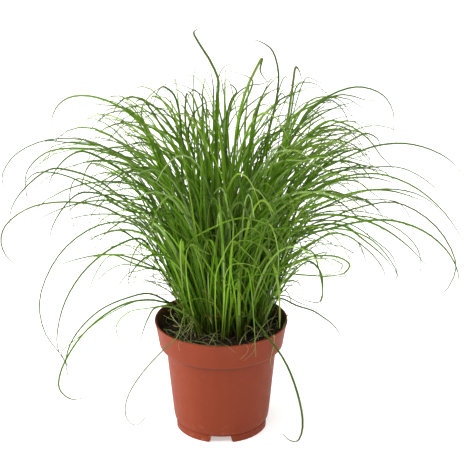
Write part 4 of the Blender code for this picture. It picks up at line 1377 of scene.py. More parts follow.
@dataclass(frozen=True)
class InnerWallPlastic:
    """The pot's inner wall: the same plastic, darker towards the soil and in patches."""

    inner_pale: Triple = (0.22, 0.065, 0.034)
    inner_dark: Triple = (0.035, 0.02, 0.012)
    darkening: Pair = (103.5 * MM, 91.5 * MM)

    def make(self) -> Finish:
        """Builds the finish of the pot's inside.

        Returns:
            The material.
        """
        sheet = FinishSheet("inner_wall_plastic", Roughness=0.62)
        height = sheet.add("ShaderNodeSeparateXYZ", Vector=sheet.place()).outputs["Z"]
        patches = sheet.span(sheet.noise(170.0, 6.0), 0.4, 0.65, 0.0, 0.5)
        # darker towards the soil, and darker in noise patches
        inner_dark = sheet.math("ADD", sheet.span(height, *self.darkening, 0.1, 0.75), patches)
        sheet.set("Base Color", sheet.mix(sheet.math("MINIMUM", inner_dark, 1.0), self.inner_pale, self.inner_dark))
        sheet.bump(sheet.noise(1500.0, 4.0), 0.0002, 0.6)
        return sheet.material


@dataclass(frozen=True)
class DampPeat:
    """Damp dark peat: brown-black, matt, with paler shreds."""

    dark: Triple = (0.006, 0.004, 0.0025)
    brown: Triple = (0.032, 0.018, 0.009)
    shred: Triple = (0.11, 0.07, 0.035)

    def make(self) -> Finish:
        """Builds the finish of the soil and its crumbs.

        Returns:
            The material.
        """
        sheet = FinishSheet("damp_peat", Roughness=0.92, Specular_IOR_Level=0.25)
        stops = [(0.3, self.dark), (0.62, self.brown), (0.8, self.shred)]
        sheet.set("Base Color", sheet.ramp(sheet.noise(420.0, 6.0), stops))
        sheet.bump(sheet.noise(1100.0, 6.0), 0.0008, 0.9)
        return sheet.material


@dataclass(frozen=True)
class DeadThread:
    """Dead leaf threads on the soil: from pale straw to faded green."""

    straw: Triple = (0.36, 0.30, 0.13)
    faded: Triple = (0.24, 0.33, 0.08)
    brown: Triple = (0.10, 0.06, 0.025)

    def make(self) -> Finish:
        """Builds the finish, which reads each thread's own tone.

        Returns:
            The material.
        """
        sheet = FinishSheet("dead_thread", Roughness=0.6)
        stops = [(0.0, self.brown), (0.3, self.straw), (1.0, self.faded)]
        colour = sheet.ramp(sheet.span(sheet.value("tone"), -1.0, 1.0), stops)
        spots = sheet.span(sheet.noise(600.0, 4.0), 0.5, 0.72, 0.0, 0.5)
        sheet.set("Base Color", sheet.mix(spots, colour, self.brown))
        sheet.bump(sheet.noise(3000.0, 2.0), 0.00008, 0.5)
        return sheet.material


@dataclass(frozen=True)
class StudioFloor:
    """The plain pale floor: a light table that glows a little."""

    colour: Triple = (0.88, 0.88, 0.875)
    glow: float = 0.45

    def make(self) -> Finish:
        """Builds the finish, matt with a barely visible mottle.

        Returns:
            The material.
        """
        sheet = FinishSheet("studio_floor", Roughness=0.9, Specular_IOR_Level=0.1,
                            Emission_Color=(1.0, 1.0, 1.0, 1.0), Emission_Strength=self.glow)
        darker = tuple(part * 0.985 for part in self.colour)
        sheet.set("Base Color", sheet.mix(sheet.noise(3.0, 2.0), self.colour, darker))
        return sheet.material


@dataclass(frozen=True)
class LeafLook:
    """What the picture shows of one leaf. late says how late it tapers, and turn is in radians."""

    tone: float
    breadth: float = 1.0
    late: float = 4.0
    turn: float = 0.5
    root_share: float = 0.6


# Leaves that stand out, by their shoot's place and their own
LOOKS = {
    (4, 0): LeafLook(-0.1, 1.15, 7.0),
    (7, 0): LeafLook(0.4, 1.15, 9.0, 1.0),
    (9, 0): LeafLook(-1.7, 0.85, 6.0),
    (10, 0): LeafLook(0.0, 1.1, 10.0, 1.0),
    (11, 0): LeafLook(-0.9, 0.9, 4.0),
    (13, 0): LeafLook(-1.4, 0.9, 6.0),
    (26, 0): LeafLook(-1.2, 0.7, 7.0),
    (30, 0): LeafLook(-1.4, 0.85, 6.0),
    (21, 0): LeafLook(-1.7, 0.95, 8.0),
    (21, 1): LeafLook(-1.6, 0.9, 5.0),
    (22, 0): LeafLook(-1.45, 0.95, 14.0, root_share=0.2),
    (22, 1): LeafLook(0.95, 1.2, 12.0, 2.6),
    (23, 0): LeafLook(-2.0, 0.85, 8.0),
    (23, 1): LeafLook(-1.5, 1.0, 14.0),
}


class Heading(Enum):
    """Which way a blade leans from its foot."""

    OUTWARD = "away from the clump's middle"
    FORWARD = "towards the front"
    ANY = "any way"


@dataclass(frozen=True)
class Habit:
    """How one kind of thin blade grows; a range of three has its likeliest value in the middle."""

    count: int
    length: Triple
    lean: Pair
    droop: Triple
    lateness: Pair
    width: Triple
    tone: Pair
    heading: Heading = Heading.OUTWARD
    taper: Pair = (3.0, 8.0)
    dryness: Pair = (0.0, 0.0)
    inner: bool = False
    reach: float = 128


# Blades beside each shoot: number, length in mm, lean and droop in degrees, lateness, width in mm, tone
HABITS = [
    Habit(7, (70, 135, 205), (-4, 9), (5, 20, 60), (2.0, 5.0), (1.1, 1.8, 3.0), (-2.3, 0.5), inner=True),
    Habit(4, (190, 285, 355), (-3, 12), (35, 95, 170), (1.3, 3.2), (1.3, 2.1, 3.3), (-1.0, 1.0)),
    Habit(2, (170, 250, 320), (-3, 8), (80, 140, 210), (3.0, 6.5), (1.2, 1.9, 2.7), (-1.1, 0.7),
          taper=(1.8, 4.0)),
    Habit(1, (260, 335, 400), (0, 10), (70, 110, 160), (1.2, 2.2), (1.2, 1.8, 2.6), (-1.0, 0.4), reach=188),
    Habit(1, (140, 210, 300), (2, 24), (10, 35, 75), (1.1, 2.2), (0.9, 1.4, 2.0), (-1.0, 1.0),
          Heading.FORWARD, taper=(1.4, 3.5)),
    Habit(4, (60, 110, 170), (0, 12), (10, 30, 60), (1.2, 2.2), (0.9, 1.3, 1.9), (-1.0, 0.9), Heading.ANY),
    Habit(3, (35, 60, 90), (0, 24), (10, 60, 110), (1.2, 2.2), (0.9, 1.3, 1.9), (-1.0, 0.5), Heading.ANY,
          dryness=(0.5, 1.0)),
]


@dataclass
class Tuft:
    """One shoot's stem and leaves, with the blades that are too thin and too many to be solids.

    The middle, the dome, the skirt and the heart bound the thin blades as the picture shows them, in
    millimetres. A blade is left out if it rises past hanging_from and then drops below hanging_below,
    with its tip within hanging_within of the axis. Turns are in radians, outer_lean in degrees and sway
    in millimetres.
    """

    clump: Clump
    number: int
    shoot: GrownShoot
    leaf_points: int = 30
    blade_points: int = 15
    stem_points: int = 8
    stem_slimness: float = 0.7
    sheaths: tuple[Pair, ...] = ((16 * MM, 0.7), (34 * MM, 0.2))
    leaf_offset: Pair = (0.9 * MM, 1.7 * MM)
    leaf_fullness: float = 1.2
    leaf_tone: Pair = (-0.8, 0.8)
    leaf_turn: Pair = (-0.8, 0.8)
    leaf_lateness: Pair = (4.0, 9.0)
    far_shade: Pair = (0.3, 1.1)
    high_leaf: float = 118 * MM
    middle_blades: int = 2
    side_blades: int = 1
    beside_offset: Pair = (1.2 * MM, 6 * MM)
    beside_length: Pair = (0.45, 0.95)
    beside_width: Pair = (0.6, 1.0)
    beside_tone: Pair = (-1.0, 0.9)
    beside_turn: Pair = (-1.4, 1.4)
    beside_lateness: Pair = (2.0, 4.5)
    beside_swing: float = 0.42
    beside_lift: Pair = (0.05, 0.15)
    blade_offset: Pair = (0.5 * MM, 4.5 * MM)
    blade_turn: Pair = (-2.2, 2.2)
    outer_lean: float = 20
    tuft_turn: float = 0.55
    sway: float = 22
    sway_lateness: Pair = (1.5, 3.0)
    darkest: float = -1.1
    painted_sheen_tone: Pair = (1.2, 2.0)
    side_reach: float = 90 * MM
    far_reach: float = 115 * MM
    front_reach: float = -60 * MM
    inside_shade: float = 0.7
    painted_sheen_share: float = 0.17
    tip_half: float = 0.28 * MM
    tries: int = 7
    middle: float = 5
    dome_top: float = 334
    dome_fall: float = 0.0026
    dome_reach: float = 170
    skirt_start: float = 58
    skirt: float = 112
    skirt_rise: float = 0.55
    heart: float = 52
    heart_rise: float = 0.36
    heart_foot: float = 105
    hanging_below: float = 114 * MM
    hanging_within: float = 80 * MM
    hanging_from: float = 150 * MM
    soil_room: float = 6 * MM
    blade_room: float = 0.4 * MM
    seed: int = 7

    def __post_init__(self) -> None:
        """Starts the tuft's own draws."""
        self.random = np.random.default_rng([self.seed, self.number])

    def halves(self, width: float, count: int, root_share: float, late: float) -> Points:
        """Half a blade's width along it: narrower at its root, then even, then a long fine tip.

        Args:
            width: The full width at its widest.
            count: The number of points.
            root_share: The share of its width that it has at its root.
            late: How late the taper to the tip comes.

        Returns:
            The half widths.
        """
        shares = np.linspace(0, 1, count)
        body = (1 - shares ** late) ** 0.75 * np.minimum(1, root_share + 1.5 * shares) * (1 - 0.3 * shares)
        return np.maximum(0.5 * width * body, self.tip_half)

    def aside(self, bounds: Pair) -> Points:
        """A level step in any direction, of a length between two bounds."""
        angle = self.random.uniform(0, 2 * math.pi)
        return np.array([math.cos(angle), math.sin(angle), 0.0]) * self.random.uniform(*bounds)

    def leaf(self, curve: Points, width: float, look: LeafLook | None) -> Strand:
        """A leaf, from low on its stem along its full curve to its tip.

        Args:
            curve: The leaf's fine curve above the fork.
            width: Its full width.
            look: What the picture shows of it, or None.

        Returns:
            The strand.
        """
        draw, stem = self.random.uniform, self.shoot.stem_curve
        below = stem[stem[:, 2] < curve[0][2] - 3 * MM]
        below = below[int(len(below) * draw(0, 0.6)):]
        fade = np.linspace(1, 0.25, len(below))[:, None]
        whole = np.concatenate([below + self.aside(self.leaf_offset) * fade, curve])
        path = thinned(whole, self.leaf_points - 1, 0.5)
        own = LeafLook(draw(*self.leaf_tone), 1.0, draw(*self.leaf_lateness), draw(*self.leaf_turn))
        # painted shade: leaves far aside or hanging to the front get a darker tone
        if abs(curve[-1][0]) > self.far_reach or curve[-1][1] < self.front_reach:
            own = replace(own, tone=own.tone - draw(*self.far_shade))
        look = look or own
        broad = width * look.breadth * self.leaf_fullness
        halves = self.halves(broad, len(path), look.root_share, look.late)
        return Strand(path, halves, tone=look.tone, twist=look.turn)

    def stem_strands(self) -> list[Strand]:
        """The stem with the two sheaths that wrap its foot.

        Returns:
            The stem and the sheaths.
        """
        draw, stem = self.random.uniform, self.shoot.stem_curve
        path = thinned(stem, self.stem_points - 1, 0.3)
        slim = self.clump.stem_radius * self.stem_slimness
        halves = np.linspace(slim, 0.5 * slim, len(path))
        strands = [Strand(path, halves, Section.STEM, draw(-0.6, 0.1))]
        length = np.linalg.norm(np.diff(stem, axis=0), axis=1).sum()
        for tall, dryness in self.sheaths:
            share = min(tall * draw(0.7, 1.4) / length, 0.9)
            sheath = thinned(stem[:max(int(len(stem) * share), 3)], 5, 0.3)
            wide = slim * np.array([1.12, 1.14, 1.15, 1.14, 1.1, 0.96])
            strands.append(Strand(sheath, wide, Section.STEM, draw(-0.8, 0.2), dryness))
        return strands

    def blade_beside(self, curve: Points, width: float) -> Strand:
        """A thin blade that rises from the soil beside the stem and arches much as one of its leaves does.

        Args:
            curve: The fine curve of the leaf that it follows.
            width: That leaf's width.

        Returns:
            The strand.
        """
        draw, stem = self.random.uniform, self.shoot.stem_curve
        leave = max(int(len(stem) * draw(0.35, 1.0)), 3)
        fade = np.linspace(1.0, 0.6, leave)[:, None]
        rising = stem[:leave] + self.aside(self.beside_offset) * fade
        share = np.linspace(0, 1, len(curve)) ** 0.8
        swing = self.random.normal(0, self.beside_swing) * share
        lift = self.random.normal(*self.beside_lift) * share
        arm = (curve - curve[0]) * draw(*self.beside_length)
        level = np.hypot(arm[:, 0], arm[:, 1])
        heading = np.arctan2(arm[:, 1], arm[:, 0]) + swing
        reach = level * np.cos(lift) - arm[:, 2] * np.sin(lift)
        height = level * np.sin(lift) + arm[:, 2] * np.cos(lift)
        turned = np.stack([reach * np.cos(heading), reach * np.sin(heading), height], axis=1)
        whole = np.concatenate([rising[:-1], rising[-1] + turned])
        path = thinned(smooth_curve(thinned(whole, 9, 0.6), 8), self.blade_points - 1, 0.5)
        broad = width * draw(*self.beside_width)
        halves = self.halves(broad, len(path), 0.6, draw(*self.beside_lateness))
        return Strand(path, halves, tone=draw(*self.beside_tone), twist=draw(*self.beside_turn))

    def front_blade(self, trace: BladeTrace) -> Strand:
        """A traced blade in space, set back evenly from its foot's depth to its tip's.

        Args:
            trace: The traced blade.

        Returns:
            The strand.
        """
        lengths = np.linalg.norm(np.diff(np.array(trace.line, float), axis=0), axis=1)
        shares = np.concatenate([[0], np.cumsum(lengths) / lengths.sum()])
        depths = trace.foot_depth + (trace.tip_depth - trace.foot_depth) * shares
        placed = [VIEW.set_back(p, depth * MM) for p, depth in zip(trace.line, depths)]
        path = thinned(smooth_curve(placed), self.leaf_points - 1, 0.5)
        return Strand(path, self.halves(trace.width * MM, len(path), 0.5, 4.0), tone=trace.tone, twist=1.2)

    def thin_blade(self, habit: Habit, turn: float) -> Strand:
        """A blade that rises from the soil beside the stem.

        Args:
            habit: Its kind.
            turn: How far the whole tuft is turned from straight outwards.

        Returns:
            The strand.
        """
        draw, likely = self.random.uniform, self.random.triangular
        foot = self.shoot.stem_curve[0] + self.aside(self.blade_offset)
        out = (foot[:2] - self.clump.centre) / self.clump.spread
        share = min(np.linalg.norm(out) / self.clump.clump_radius, 1.0)
        outward = habit.heading is Heading.OUTWARD
        spread = self.outer_lean * share * draw(0.4, 1.1) if outward else 0.0
        lean = math.radians(draw(*habit.lean) + spread)
        length, droop = likely(*habit.length) * MM, math.radians(likely(*habit.droop))
        if outward:
            way = math.atan2(out[1], out[0]) + turn + self.random.normal(0, 0.25 + 0.9 * (1 - share))
        elif habit.heading is Heading.FORWARD:
            way = -math.pi / 2 + self.random.normal(0, 1.0)
        else:
            way = draw(0, 2 * math.pi)
        curve = self.clump.rule_curve(foot, way, lean, length, droop, draw(*habit.lateness))
        path = thinned(self.swayed(curve), self.blade_points - 1, 0.5)
        halves = self.halves(likely(*habit.width) * MM, len(path), 0.5, draw(*habit.taper))
        # painted shade: inner blades at the back get a darker tone
        shade = self.inside_shade if habit.inner and foot[1] > self.clump.centre[1] else 0.0
        tone = max(draw(*habit.tone) - shade, self.darkest)
        # painted sheen: some outward blades get the highest tones
        if outward and draw(0, 1) < self.painted_sheen_share:
            tone = draw(*self.painted_sheen_tone)
        return Strand(path, halves, tone=tone, dryness=draw(*habit.dryness),
                      twist=draw(*self.blade_turn), inner=habit.inner)

    def swayed(self, curve: Points) -> Points:
        """A curve bent a little to one side, more and more towards its tip.

        Args:
            curve: The fine curve, root first.

        Returns:
            The bent curve.
        """
        lean = level_lean(curve)
        side = np.array([-lean[1], lean[0], 0.0])
        share = np.linspace(0, 1, len(curve))[:, None]
        late = self.random.uniform(*self.sway_lateness)
        return curve + side * share ** late * self.random.normal(0, self.sway) * MM

    def fits(self, strand: Strand, reach: float) -> bool:
        """Whether a blade stays in the plant's dome and box, and clear of the pot and its front.

        Args:
            strand: The blade.
            reach: How far aside of the middle it may go, in mm.

        Returns:
            True where it does.
        """
        path = strand.path
        seen = VIEW.as_seen(path) / MM
        away, height = np.abs(seen[:, 0] - self.middle), seen[:, 1]
        dome = self.dome_top - self.dome_fall * np.minimum(away, self.dome_reach) ** 2
        past = away - self.skirt_start
        skirt = np.where(past > 0, self.skirt + self.skirt_rise * past, 0)
        heart = self.heart + self.heart_rise * (height - self.heart_foot)
        if np.any(away > reach) or (strand.inner and np.any(away > heart)):
            return False
        outside = np.any(path < CAD_BOX[0]) or np.any(path > CAD_BOX[1])
        if outside or np.any(height > dome) or np.any(height < skirt):
            return False
        low_end = path[len(path) // 2:, 2].min() < self.hanging_below
        if low_end and np.hypot(*path[-1][:2]) < self.hanging_within and path[:, 2].max() > self.hanging_from:
            return False
        fine = smooth_curve(path, 4)
        above = fine[:, 2] > self.clump.soil_top + self.soil_room
        clear = Spacing().clears_pot(fine, np.full(len(fine), self.blade_room))
        return clear and bool(above[len(above) // 3:].all())

    def fitting(self, make: Callable[[], Strand], wanted: int, reach: float = 1000) -> list[Strand]:
        """Makes several strands for each that is wanted, and keeps the first that fit.

        Args:
            make: What makes one.
            wanted: The number wanted.
            reach: How far aside of the middle they may go, in mm.

        Returns:
            Those that it keeps.
        """
        made: list[Strand] = []
        for _ in range(self.tries * wanted):
            strand = make()
            if len(made) < wanted and self.fits(strand, reach):
                made.append(strand)
        return made

    def strands(self) -> list[Strand]:
        """Every strand of the tuft.

        Returns:
            Its stem, sheaths, leaves and blades.
        """
        strands = self.stem_strands()
        leaves = list(self.shoot.leaves)
        for place, leaf in SEEN_EXTRAS:
            if place == self.number:
                leaves.append((self.clump.traced_curve(self.shoot.stem, leaf, 0), leaf.width * MM))
        for index, (curve, width) in enumerate(leaves):
            strands.append(self.leaf(curve, width, LOOKS.get((self.number, index))))
            if index < len(self.shoot.leaves) and curve[:, 2].min() > self.high_leaf:
                wanted = self.middle_blades if abs(curve[-1][0]) < self.side_reach else self.side_blades
                strands += self.fitting(lambda: self.blade_beside(curve, width), wanted)
        if self.number == FRONT_SHOOT:
            strands += [self.front_blade(trace) for trace in FRONT_BLADES]
        turn = self.random.normal(0, self.tuft_turn)
        in_front = self.shoot.stem_curve[0][1] < self.clump.centre[1]
        for habit in HABITS:
            if in_front or habit.heading is not Heading.FORWARD:
                strands += self.fitting(lambda: self.thin_blade(habit, turn), habit.count, habit.reach)
        return strands


@dataclass
class Foliage:
    """The tufts, one piece for each shoot."""

    clump: Clump
    crease_angle: float = math.radians(50)

    def build(self, green: Finish) -> list[Piece]:
        """Makes a piece for each shoot, in place of its solid.

        Args:
            green: The leaves' finish.

        Returns:
            The pieces.
        """
        tree = SweepTree("strand_sweep").tree
        pieces = []
        for number, shoot in enumerate(self.clump.grow()):
            piece = strand_lines(f"foliage_{number + 1:02d}", Tuft(self.clump, number, shoot).strands())
            grow_mesh(piece, tree, {"Material": green})
            piece.data.shade_smooth()
            piece.data.set_sharp_from_angle(angle=self.crease_angle)
            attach(piece, "root")
            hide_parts(f"shoot_{number + 1:02d}")
            pieces.append(piece)
        return pieces


def softened(corners: Sequence[Pair], reach: float, steps: int = 3) -> list[Pair]:
    """Rounds the corners of an open outline, except at its two ends.

    Args:
        corners: The outline's corners.
        reach: How far from a corner its rounding begins.
        steps: The number of points on each rounding.

    Returns:
        The outline with rounded corners.
    """
    made = [corners[0]]
    for before, corner, after in zip(corners, corners[1:], corners[2:]):
        b, c, a = Vector(before), Vector(corner), Vector(after)
        first = c + (b - c).normalized() * min(reach, (b - c).length * 0.42)
        last = c + (a - c).normalized() * min(reach, (a - c).length * 0.42)
        for i in range(steps + 1):
            t = i / steps
            made.append(tuple(first * (1 - t) ** 2 + c * 2 * t * (1 - t) + last * t * t))
    return made + [corners[-1]]


def turned_mesh(name: str, outline: Sequence[Pair], segments: int) -> bpy.types.Mesh:
    """A closed mesh turned about Z from an outline whose ends lie on the axis.

    Args:
        name: The mesh's name.
        outline: (radius, height) points, from the bottom's middle outwards and round to the top's.
        segments: The number of steps round.

    Returns:
        The mesh.
    """
    bm = bmesh.new()
    rings = []
    for radius, height in outline[1:-1]:
        ring = []
        for i in range(segments):
            angle = 2 * math.pi * i / segments
            ring.append(bm.verts.new((radius * math.cos(angle), radius * math.sin(angle), height)))
        rings.append(ring)
    for lower, upper in zip(rings, rings[1:]):
        for i in range(segments):
            j = (i + 1) % segments
            bm.faces.new((lower[i], lower[j], upper[j], upper[i]))
    for ring, end in ((rings[0], outline[0]), (rings[-1], outline[-1])):
        pole = bm.verts.new((0, 0, end[1]))
        for i in range(segments):
            bm.faces.new((pole, ring[i], ring[(i + 1) % segments]))
    bmesh.ops.recalc_face_normals(bm, faces=bm.faces)
    return kept_mesh(name, bm)


@dataclass
class NurseryPot:
    """The moulded pot: collar, tapering body, foot ring with notches, and drain holes."""

    segments: int = 144
    height: float = 104.5 * MM
    rim_radius: float = 60 * MM
    collar_foot_radius: float = 56 * MM
    collar_height: float = 24 * MM
    body_top_radius: float = 50.2 * MM
    body_foot_radius: float = 43.5 * MM
    foot_radius: float = 42 * MM
    floor_height: float = 7.8 * MM
    foot_height: float = 6.5 * MM
    foot_wall: float = 2.2 * MM
    wall: float = 1.3 * MM
    notch_half_width: float = 8.6 * MM
    notch_height: float = 6.5 * MM
    notches: int = 4
    drain_radius: float = 4 * MM
    drain_ring: float = 30 * MM
    soil_top: float = 92.5 * MM
    rounding: float = 0.55 * MM
    crease_angle: float = math.radians(38)

    def outline(self) -> list[Pair]:
        """The turned outline, from under the floor, up the outside and down the inside.

        Returns:
            (radius, height) points with rounded corners.
        """
        collar_foot = self.height - self.collar_height
        under = self.foot_height + 0.1 * MM
        return softened([
            (0, under), (self.foot_radius - self.foot_wall, under), (self.foot_radius - self.foot_wall, 0),
            (self.foot_radius, 0), (self.foot_radius, self.foot_height),
            (self.foot_radius - 0.5 * MM, self.foot_height + 0.25 * MM),
            (self.foot_radius - 0.5 * MM, self.foot_height + 0.9 * MM),
            (self.body_foot_radius - 0.5 * MM, self.foot_height + 2.4 * MM),
            (self.body_foot_radius + 0.35 * MM, self.foot_height + 7.5 * MM),
            (self.body_top_radius, collar_foot - 0.6 * MM),
            (self.collar_foot_radius - 0.8 * MM, collar_foot),
            (self.collar_foot_radius, collar_foot + 1.2 * MM),
            (self.rim_radius - 0.6 * MM, self.height - 2 * MM), (self.rim_radius, self.height - 1.4 * MM),
            (self.rim_radius, self.height), (self.rim_radius - self.wall - 0.3 * MM, self.height),
            (self.collar_foot_radius - self.wall, collar_foot + 1.6 * MM),
            (self.body_top_radius - self.wall, collar_foot + 0.4 * MM),
            (self.body_foot_radius - self.wall, self.floor_height + self.wall),
            (0, self.floor_height + self.wall),
        ], self.rounding)

    def notch(self, angle: float) -> Piece:
        """A cutter for one notch, narrower at its top, with rounded lower corners on the foot ring.

        Args:
            angle: Where it is cut, round the axis.

        Returns:
            The cutter.
        """
        half, top = self.notch_half_width, self.notch_height
        side = [(half + 4.6 * MM, -MM), (half + 3.2 * MM, 0.02 * MM), (half + 2.2 * MM, 0.5 * MM),
                (half + 1.5 * MM, 1.3 * MM), (half + 1.05 * MM, 2.5 * MM), (half + 0.7 * MM, 3.9 * MM),
                (half + 0.3 * MM, top - 0.5 * MM), (half - 0.3 * MM, top)]
        outline = side + [(-x, z) for x, z in reversed(side)]
        bm = bmesh.new()
        cos, sin = math.cos(angle), math.sin(angle)
        ends = []
        for radius in (self.foot_radius - 3 * self.foot_wall, self.foot_radius + 2 * self.foot_wall):
            spots = [(radius * cos - x * sin, radius * sin + x * cos, z) for x, z in outline]
            ends.append([bm.verts.new(spot) for spot in spots])
        for i in range(len(outline)):
            j = (i + 1) % len(outline)
            bm.faces.new((ends[0][i], ends[0][j], ends[1][j], ends[1][i]))
        for end in ends:
            bm.faces.new(end)
        bmesh.ops.recalc_face_normals(bm, faces=bm.faces)
        return new_object("notch", kept_mesh("notch", bm))

    def drain(self, angle: float) -> Piece:
        """A cutter for one drain hole.

        Args:
            angle: Where it is cut, round the axis.

        Returns:
            The cutter.
        """
        bm = bmesh.new()
        bmesh.ops.create_cone(bm, cap_ends=True, segments=24, depth=8 * self.wall, radius1=self.drain_radius,
                              radius2=self.drain_radius)
        spot = (self.drain_ring * math.cos(angle), self.drain_ring * math.sin(angle), self.foot_height)
        bmesh.ops.translate(bm, vec=spot, verts=bm.verts)
        return new_object("drain", kept_mesh("drain", bm))

    def build(self, outside: Finish, inside: Finish) -> Piece:
        """Makes the pot in place of its solid.

        Args:
            outside: The finish of the outer wall.
            inside: The finish of the wall above the soil.

        Returns:
            The piece.
        """
        piece = new_object("nursery_pot", turned_mesh("nursery_pot", self.outline(), self.segments))
        cutters = []
        for i in range(self.notches):
            angle = -math.pi / 2 + 2 * math.pi * i / self.notches
            cutters.append(self.notch(angle))
            cutters.append(self.drain(angle + math.pi / self.notches + math.pi / 32))
        for cutter in cutters:
            cut = piece.modifiers.new("cut", "BOOLEAN")
            cut.operation = "DIFFERENCE"
            cut.solver = "EXACT"
            cut.object = cutter
        settled_mesh(piece)
        for cutter in cutters:
            bpy.data.objects.remove(cutter, do_unlink=True)
        piece.data.materials.clear()
        piece.data.materials.append(outside)
        piece.data.materials.append(inside)
        for face in piece.data.polygons:
            centre = face.center
            inward = face.normal.x * centre.x + face.normal.y * centre.y < 0
            floor = face.normal.z > 0.9 and centre.z < self.soil_top
            face.material_index = int(centre.z > self.foot_height and (inward or floor))
        piece.data.shade_smooth()
        piece.data.set_sharp_from_angle(angle=self.crease_angle)
        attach(piece, "root")
        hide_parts("pot")
        return piece


@dataclass
class PottingSoil:
    """The peat in the pot, with its crumbs and the dead threads that lie on it."""

    clump: Clump
    segments: int = 132
    rings: int = 34
    edge_radius: float = 55.5 * MM
    floor_height: float = 9.4 * MM
    foot_radius: float = 41.9 * MM
    shoulder_radius: float = 48.6 * MM
    shoulder_height: float = 81.3 * MM
    lumps: float = 1.5 * MM
    grain: float = 0.7 * MM
    green_threads: int = 70
    green_length: float = 72 * MM
    straw_threads: int = 70
    straw_length: float = 28 * MM
    thread_points: int = 14
    thread_length: Pair = (0.3, 1.0)
    thread_hump: Pair = (0.05, 0.42)
    thread_half: Pair = (0.22, 0.5)
    thread_curl: float = 45
    seed: int = 11

    def lift(self, radius: float, angle: float) -> float:
        """How far lumps raise the soil's top at a place.

        Args:
            radius: The distance from the axis.
            angle: The angle round it.

        Returns:
            The lift, which fades out at the wall.
        """
        place = Vector((radius * math.cos(angle), radius * math.sin(angle), 0.0))
        fade = min(1.0, max(0.0, (self.edge_radius - radius) / (4 * MM)))
        coarse = noise.noise(place * 85.0)
        fine = noise.noise(place * 310.0 + Vector((7.0, 3.0, 1.0)))
        return (coarse * self.lumps + fine * self.grain) * fade

    def top(self, x: float, y: float) -> float:
        """The height of the soil's top at a place."""
        radius = math.hypot(x, y)
        return self.clump.soil_height(radius) + self.lift(radius, math.atan2(y, x))

    def body(self, peat: Finish) -> Piece:
        """Makes the soil in place of its solid.

        Args:
            peat: Its finish.

        Returns:
            The piece.
        """
        outline = [(0.0, self.floor_height), (self.foot_radius, self.floor_height),
                   (self.shoulder_radius, self.shoulder_height),
                   (self.edge_radius - 1.6 * MM, self.shoulder_height + 2 * MM)]
        tops = self.edge_radius * np.linspace(1, 0, self.rings)
        outline += [(float(r), self.clump.soil_height(float(r))) for r in tops]
        mesh = turned_mesh("potting_soil", outline, self.segments)
        for vertex in mesh.vertices:
            x, y, z = vertex.co
            if z > self.shoulder_height + 3 * MM:
                vertex.co.z += self.lift(math.hypot(x, y), math.atan2(y, x))
        mesh.materials.append(peat)
        mesh.shade_smooth()
        piece = new_object("potting_soil", mesh)
        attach(piece, "root")
        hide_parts("soil")
        return piece

    def crumbs(self, peat: Finish) -> Piece:
        """Strews crumbs over the soil's top.

        Args:
            peat: Their finish.

        Returns:
            The piece.
        """
        bm = bmesh.new()
        bmesh.ops.create_grid(bm, x_segments=60, y_segments=60, size=self.edge_radius)
        outer = [v for v in bm.verts if math.hypot(v.co.x, v.co.y) > self.edge_radius - 1.5 * MM]
        bmesh.ops.delete(bm, geom=outer, context="VERTS")
        for vertex in bm.verts:
            vertex.co.z = self.top(vertex.co.x, vertex.co.y)
        piece = new_object("soil_crumbs", kept_mesh("soil_crumbs", bm))
        grow_mesh(piece, CrumbTree("crumb_scatter").tree, {"Material": peat})
        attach(piece, "root")
        return piece

    def lying_thread(self, random: Draws, longest: float) -> Points:
        """A thread that lies on the soil in a curl, with its middle or one end off the ground.

        Args:
            random: Where its place and curl come from.
            longest: The greatest length that it may have.

        Returns:
            Its points.
        """
        radius = self.edge_radius * math.sqrt(random.uniform(0.16, 0.93))
        angle = random.uniform(0, 2 * math.pi)
        heading = random.uniform(0, 2 * math.pi)
        curl = random.normal(0, self.thread_curl)
        length = random.uniform(*self.thread_length) * longest
        hump = random.uniform(*self.thread_hump) * length
        x, y = radius * math.cos(angle), radius * math.sin(angle)
        bound = self.edge_radius - 2 * MM
        points, count = [], self.thread_points
        for i in range(count):
            share = i / (count - 1)
            away = math.hypot(x, y)
            if away > bound:
                x, y = x * bound / away, y * bound / away
            points.append((x, y, self.top(x, y) + GAP + hump * math.sin(math.pi * share) ** 0.8))
            heading += curl * length / count
            x += math.cos(heading) * length / count
            y += math.sin(heading) * length / count
        return smooth_curve(np.array(points)[::2], 4)

    def threads(self, dead: Finish) -> Piece:
        """Lays the dead threads on the soil and over the rim.

        Args:
            dead: Their finish.

        Returns:
            The piece.
        """
        random = np.random.default_rng(self.seed)
        strands = []
        for count, longest, low, high in ((self.straw_threads, self.straw_length, -1.0, 0.0),
                                          (self.green_threads, self.green_length, 0.1, 1.0)):
            for _ in range(count):
                path = thinned(self.lying_thread(random, longest), 12, 0.4)
                half = random.uniform(*self.thread_half) * MM
                halves = np.maximum(half * (1 - np.linspace(0, 1, len(path)) ** 2), 0.1 * MM)
                strands.append(Strand(path, halves, tone=random.uniform(low, high)))
        for line, half, tone in RIM_THREADS:
            path = thinned(smooth_curve(np.array(line) * MM, 6), 14, 0.4)
            halves = np.maximum(half * MM * (1 - 0.8 * np.linspace(0, 1, len(path))), 0.12 * MM)
            strands.append(Strand(path, halves, tone=tone))
        piece = strand_lines("dead_threads", strands)
        grow_mesh(piece, SweepTree("thread_sweep").tree,
                  {"Material": dead, "Keel": 0.8, "Edge lift": 0.1, "Groove": 0.3})
        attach(piece, "root")
        return piece


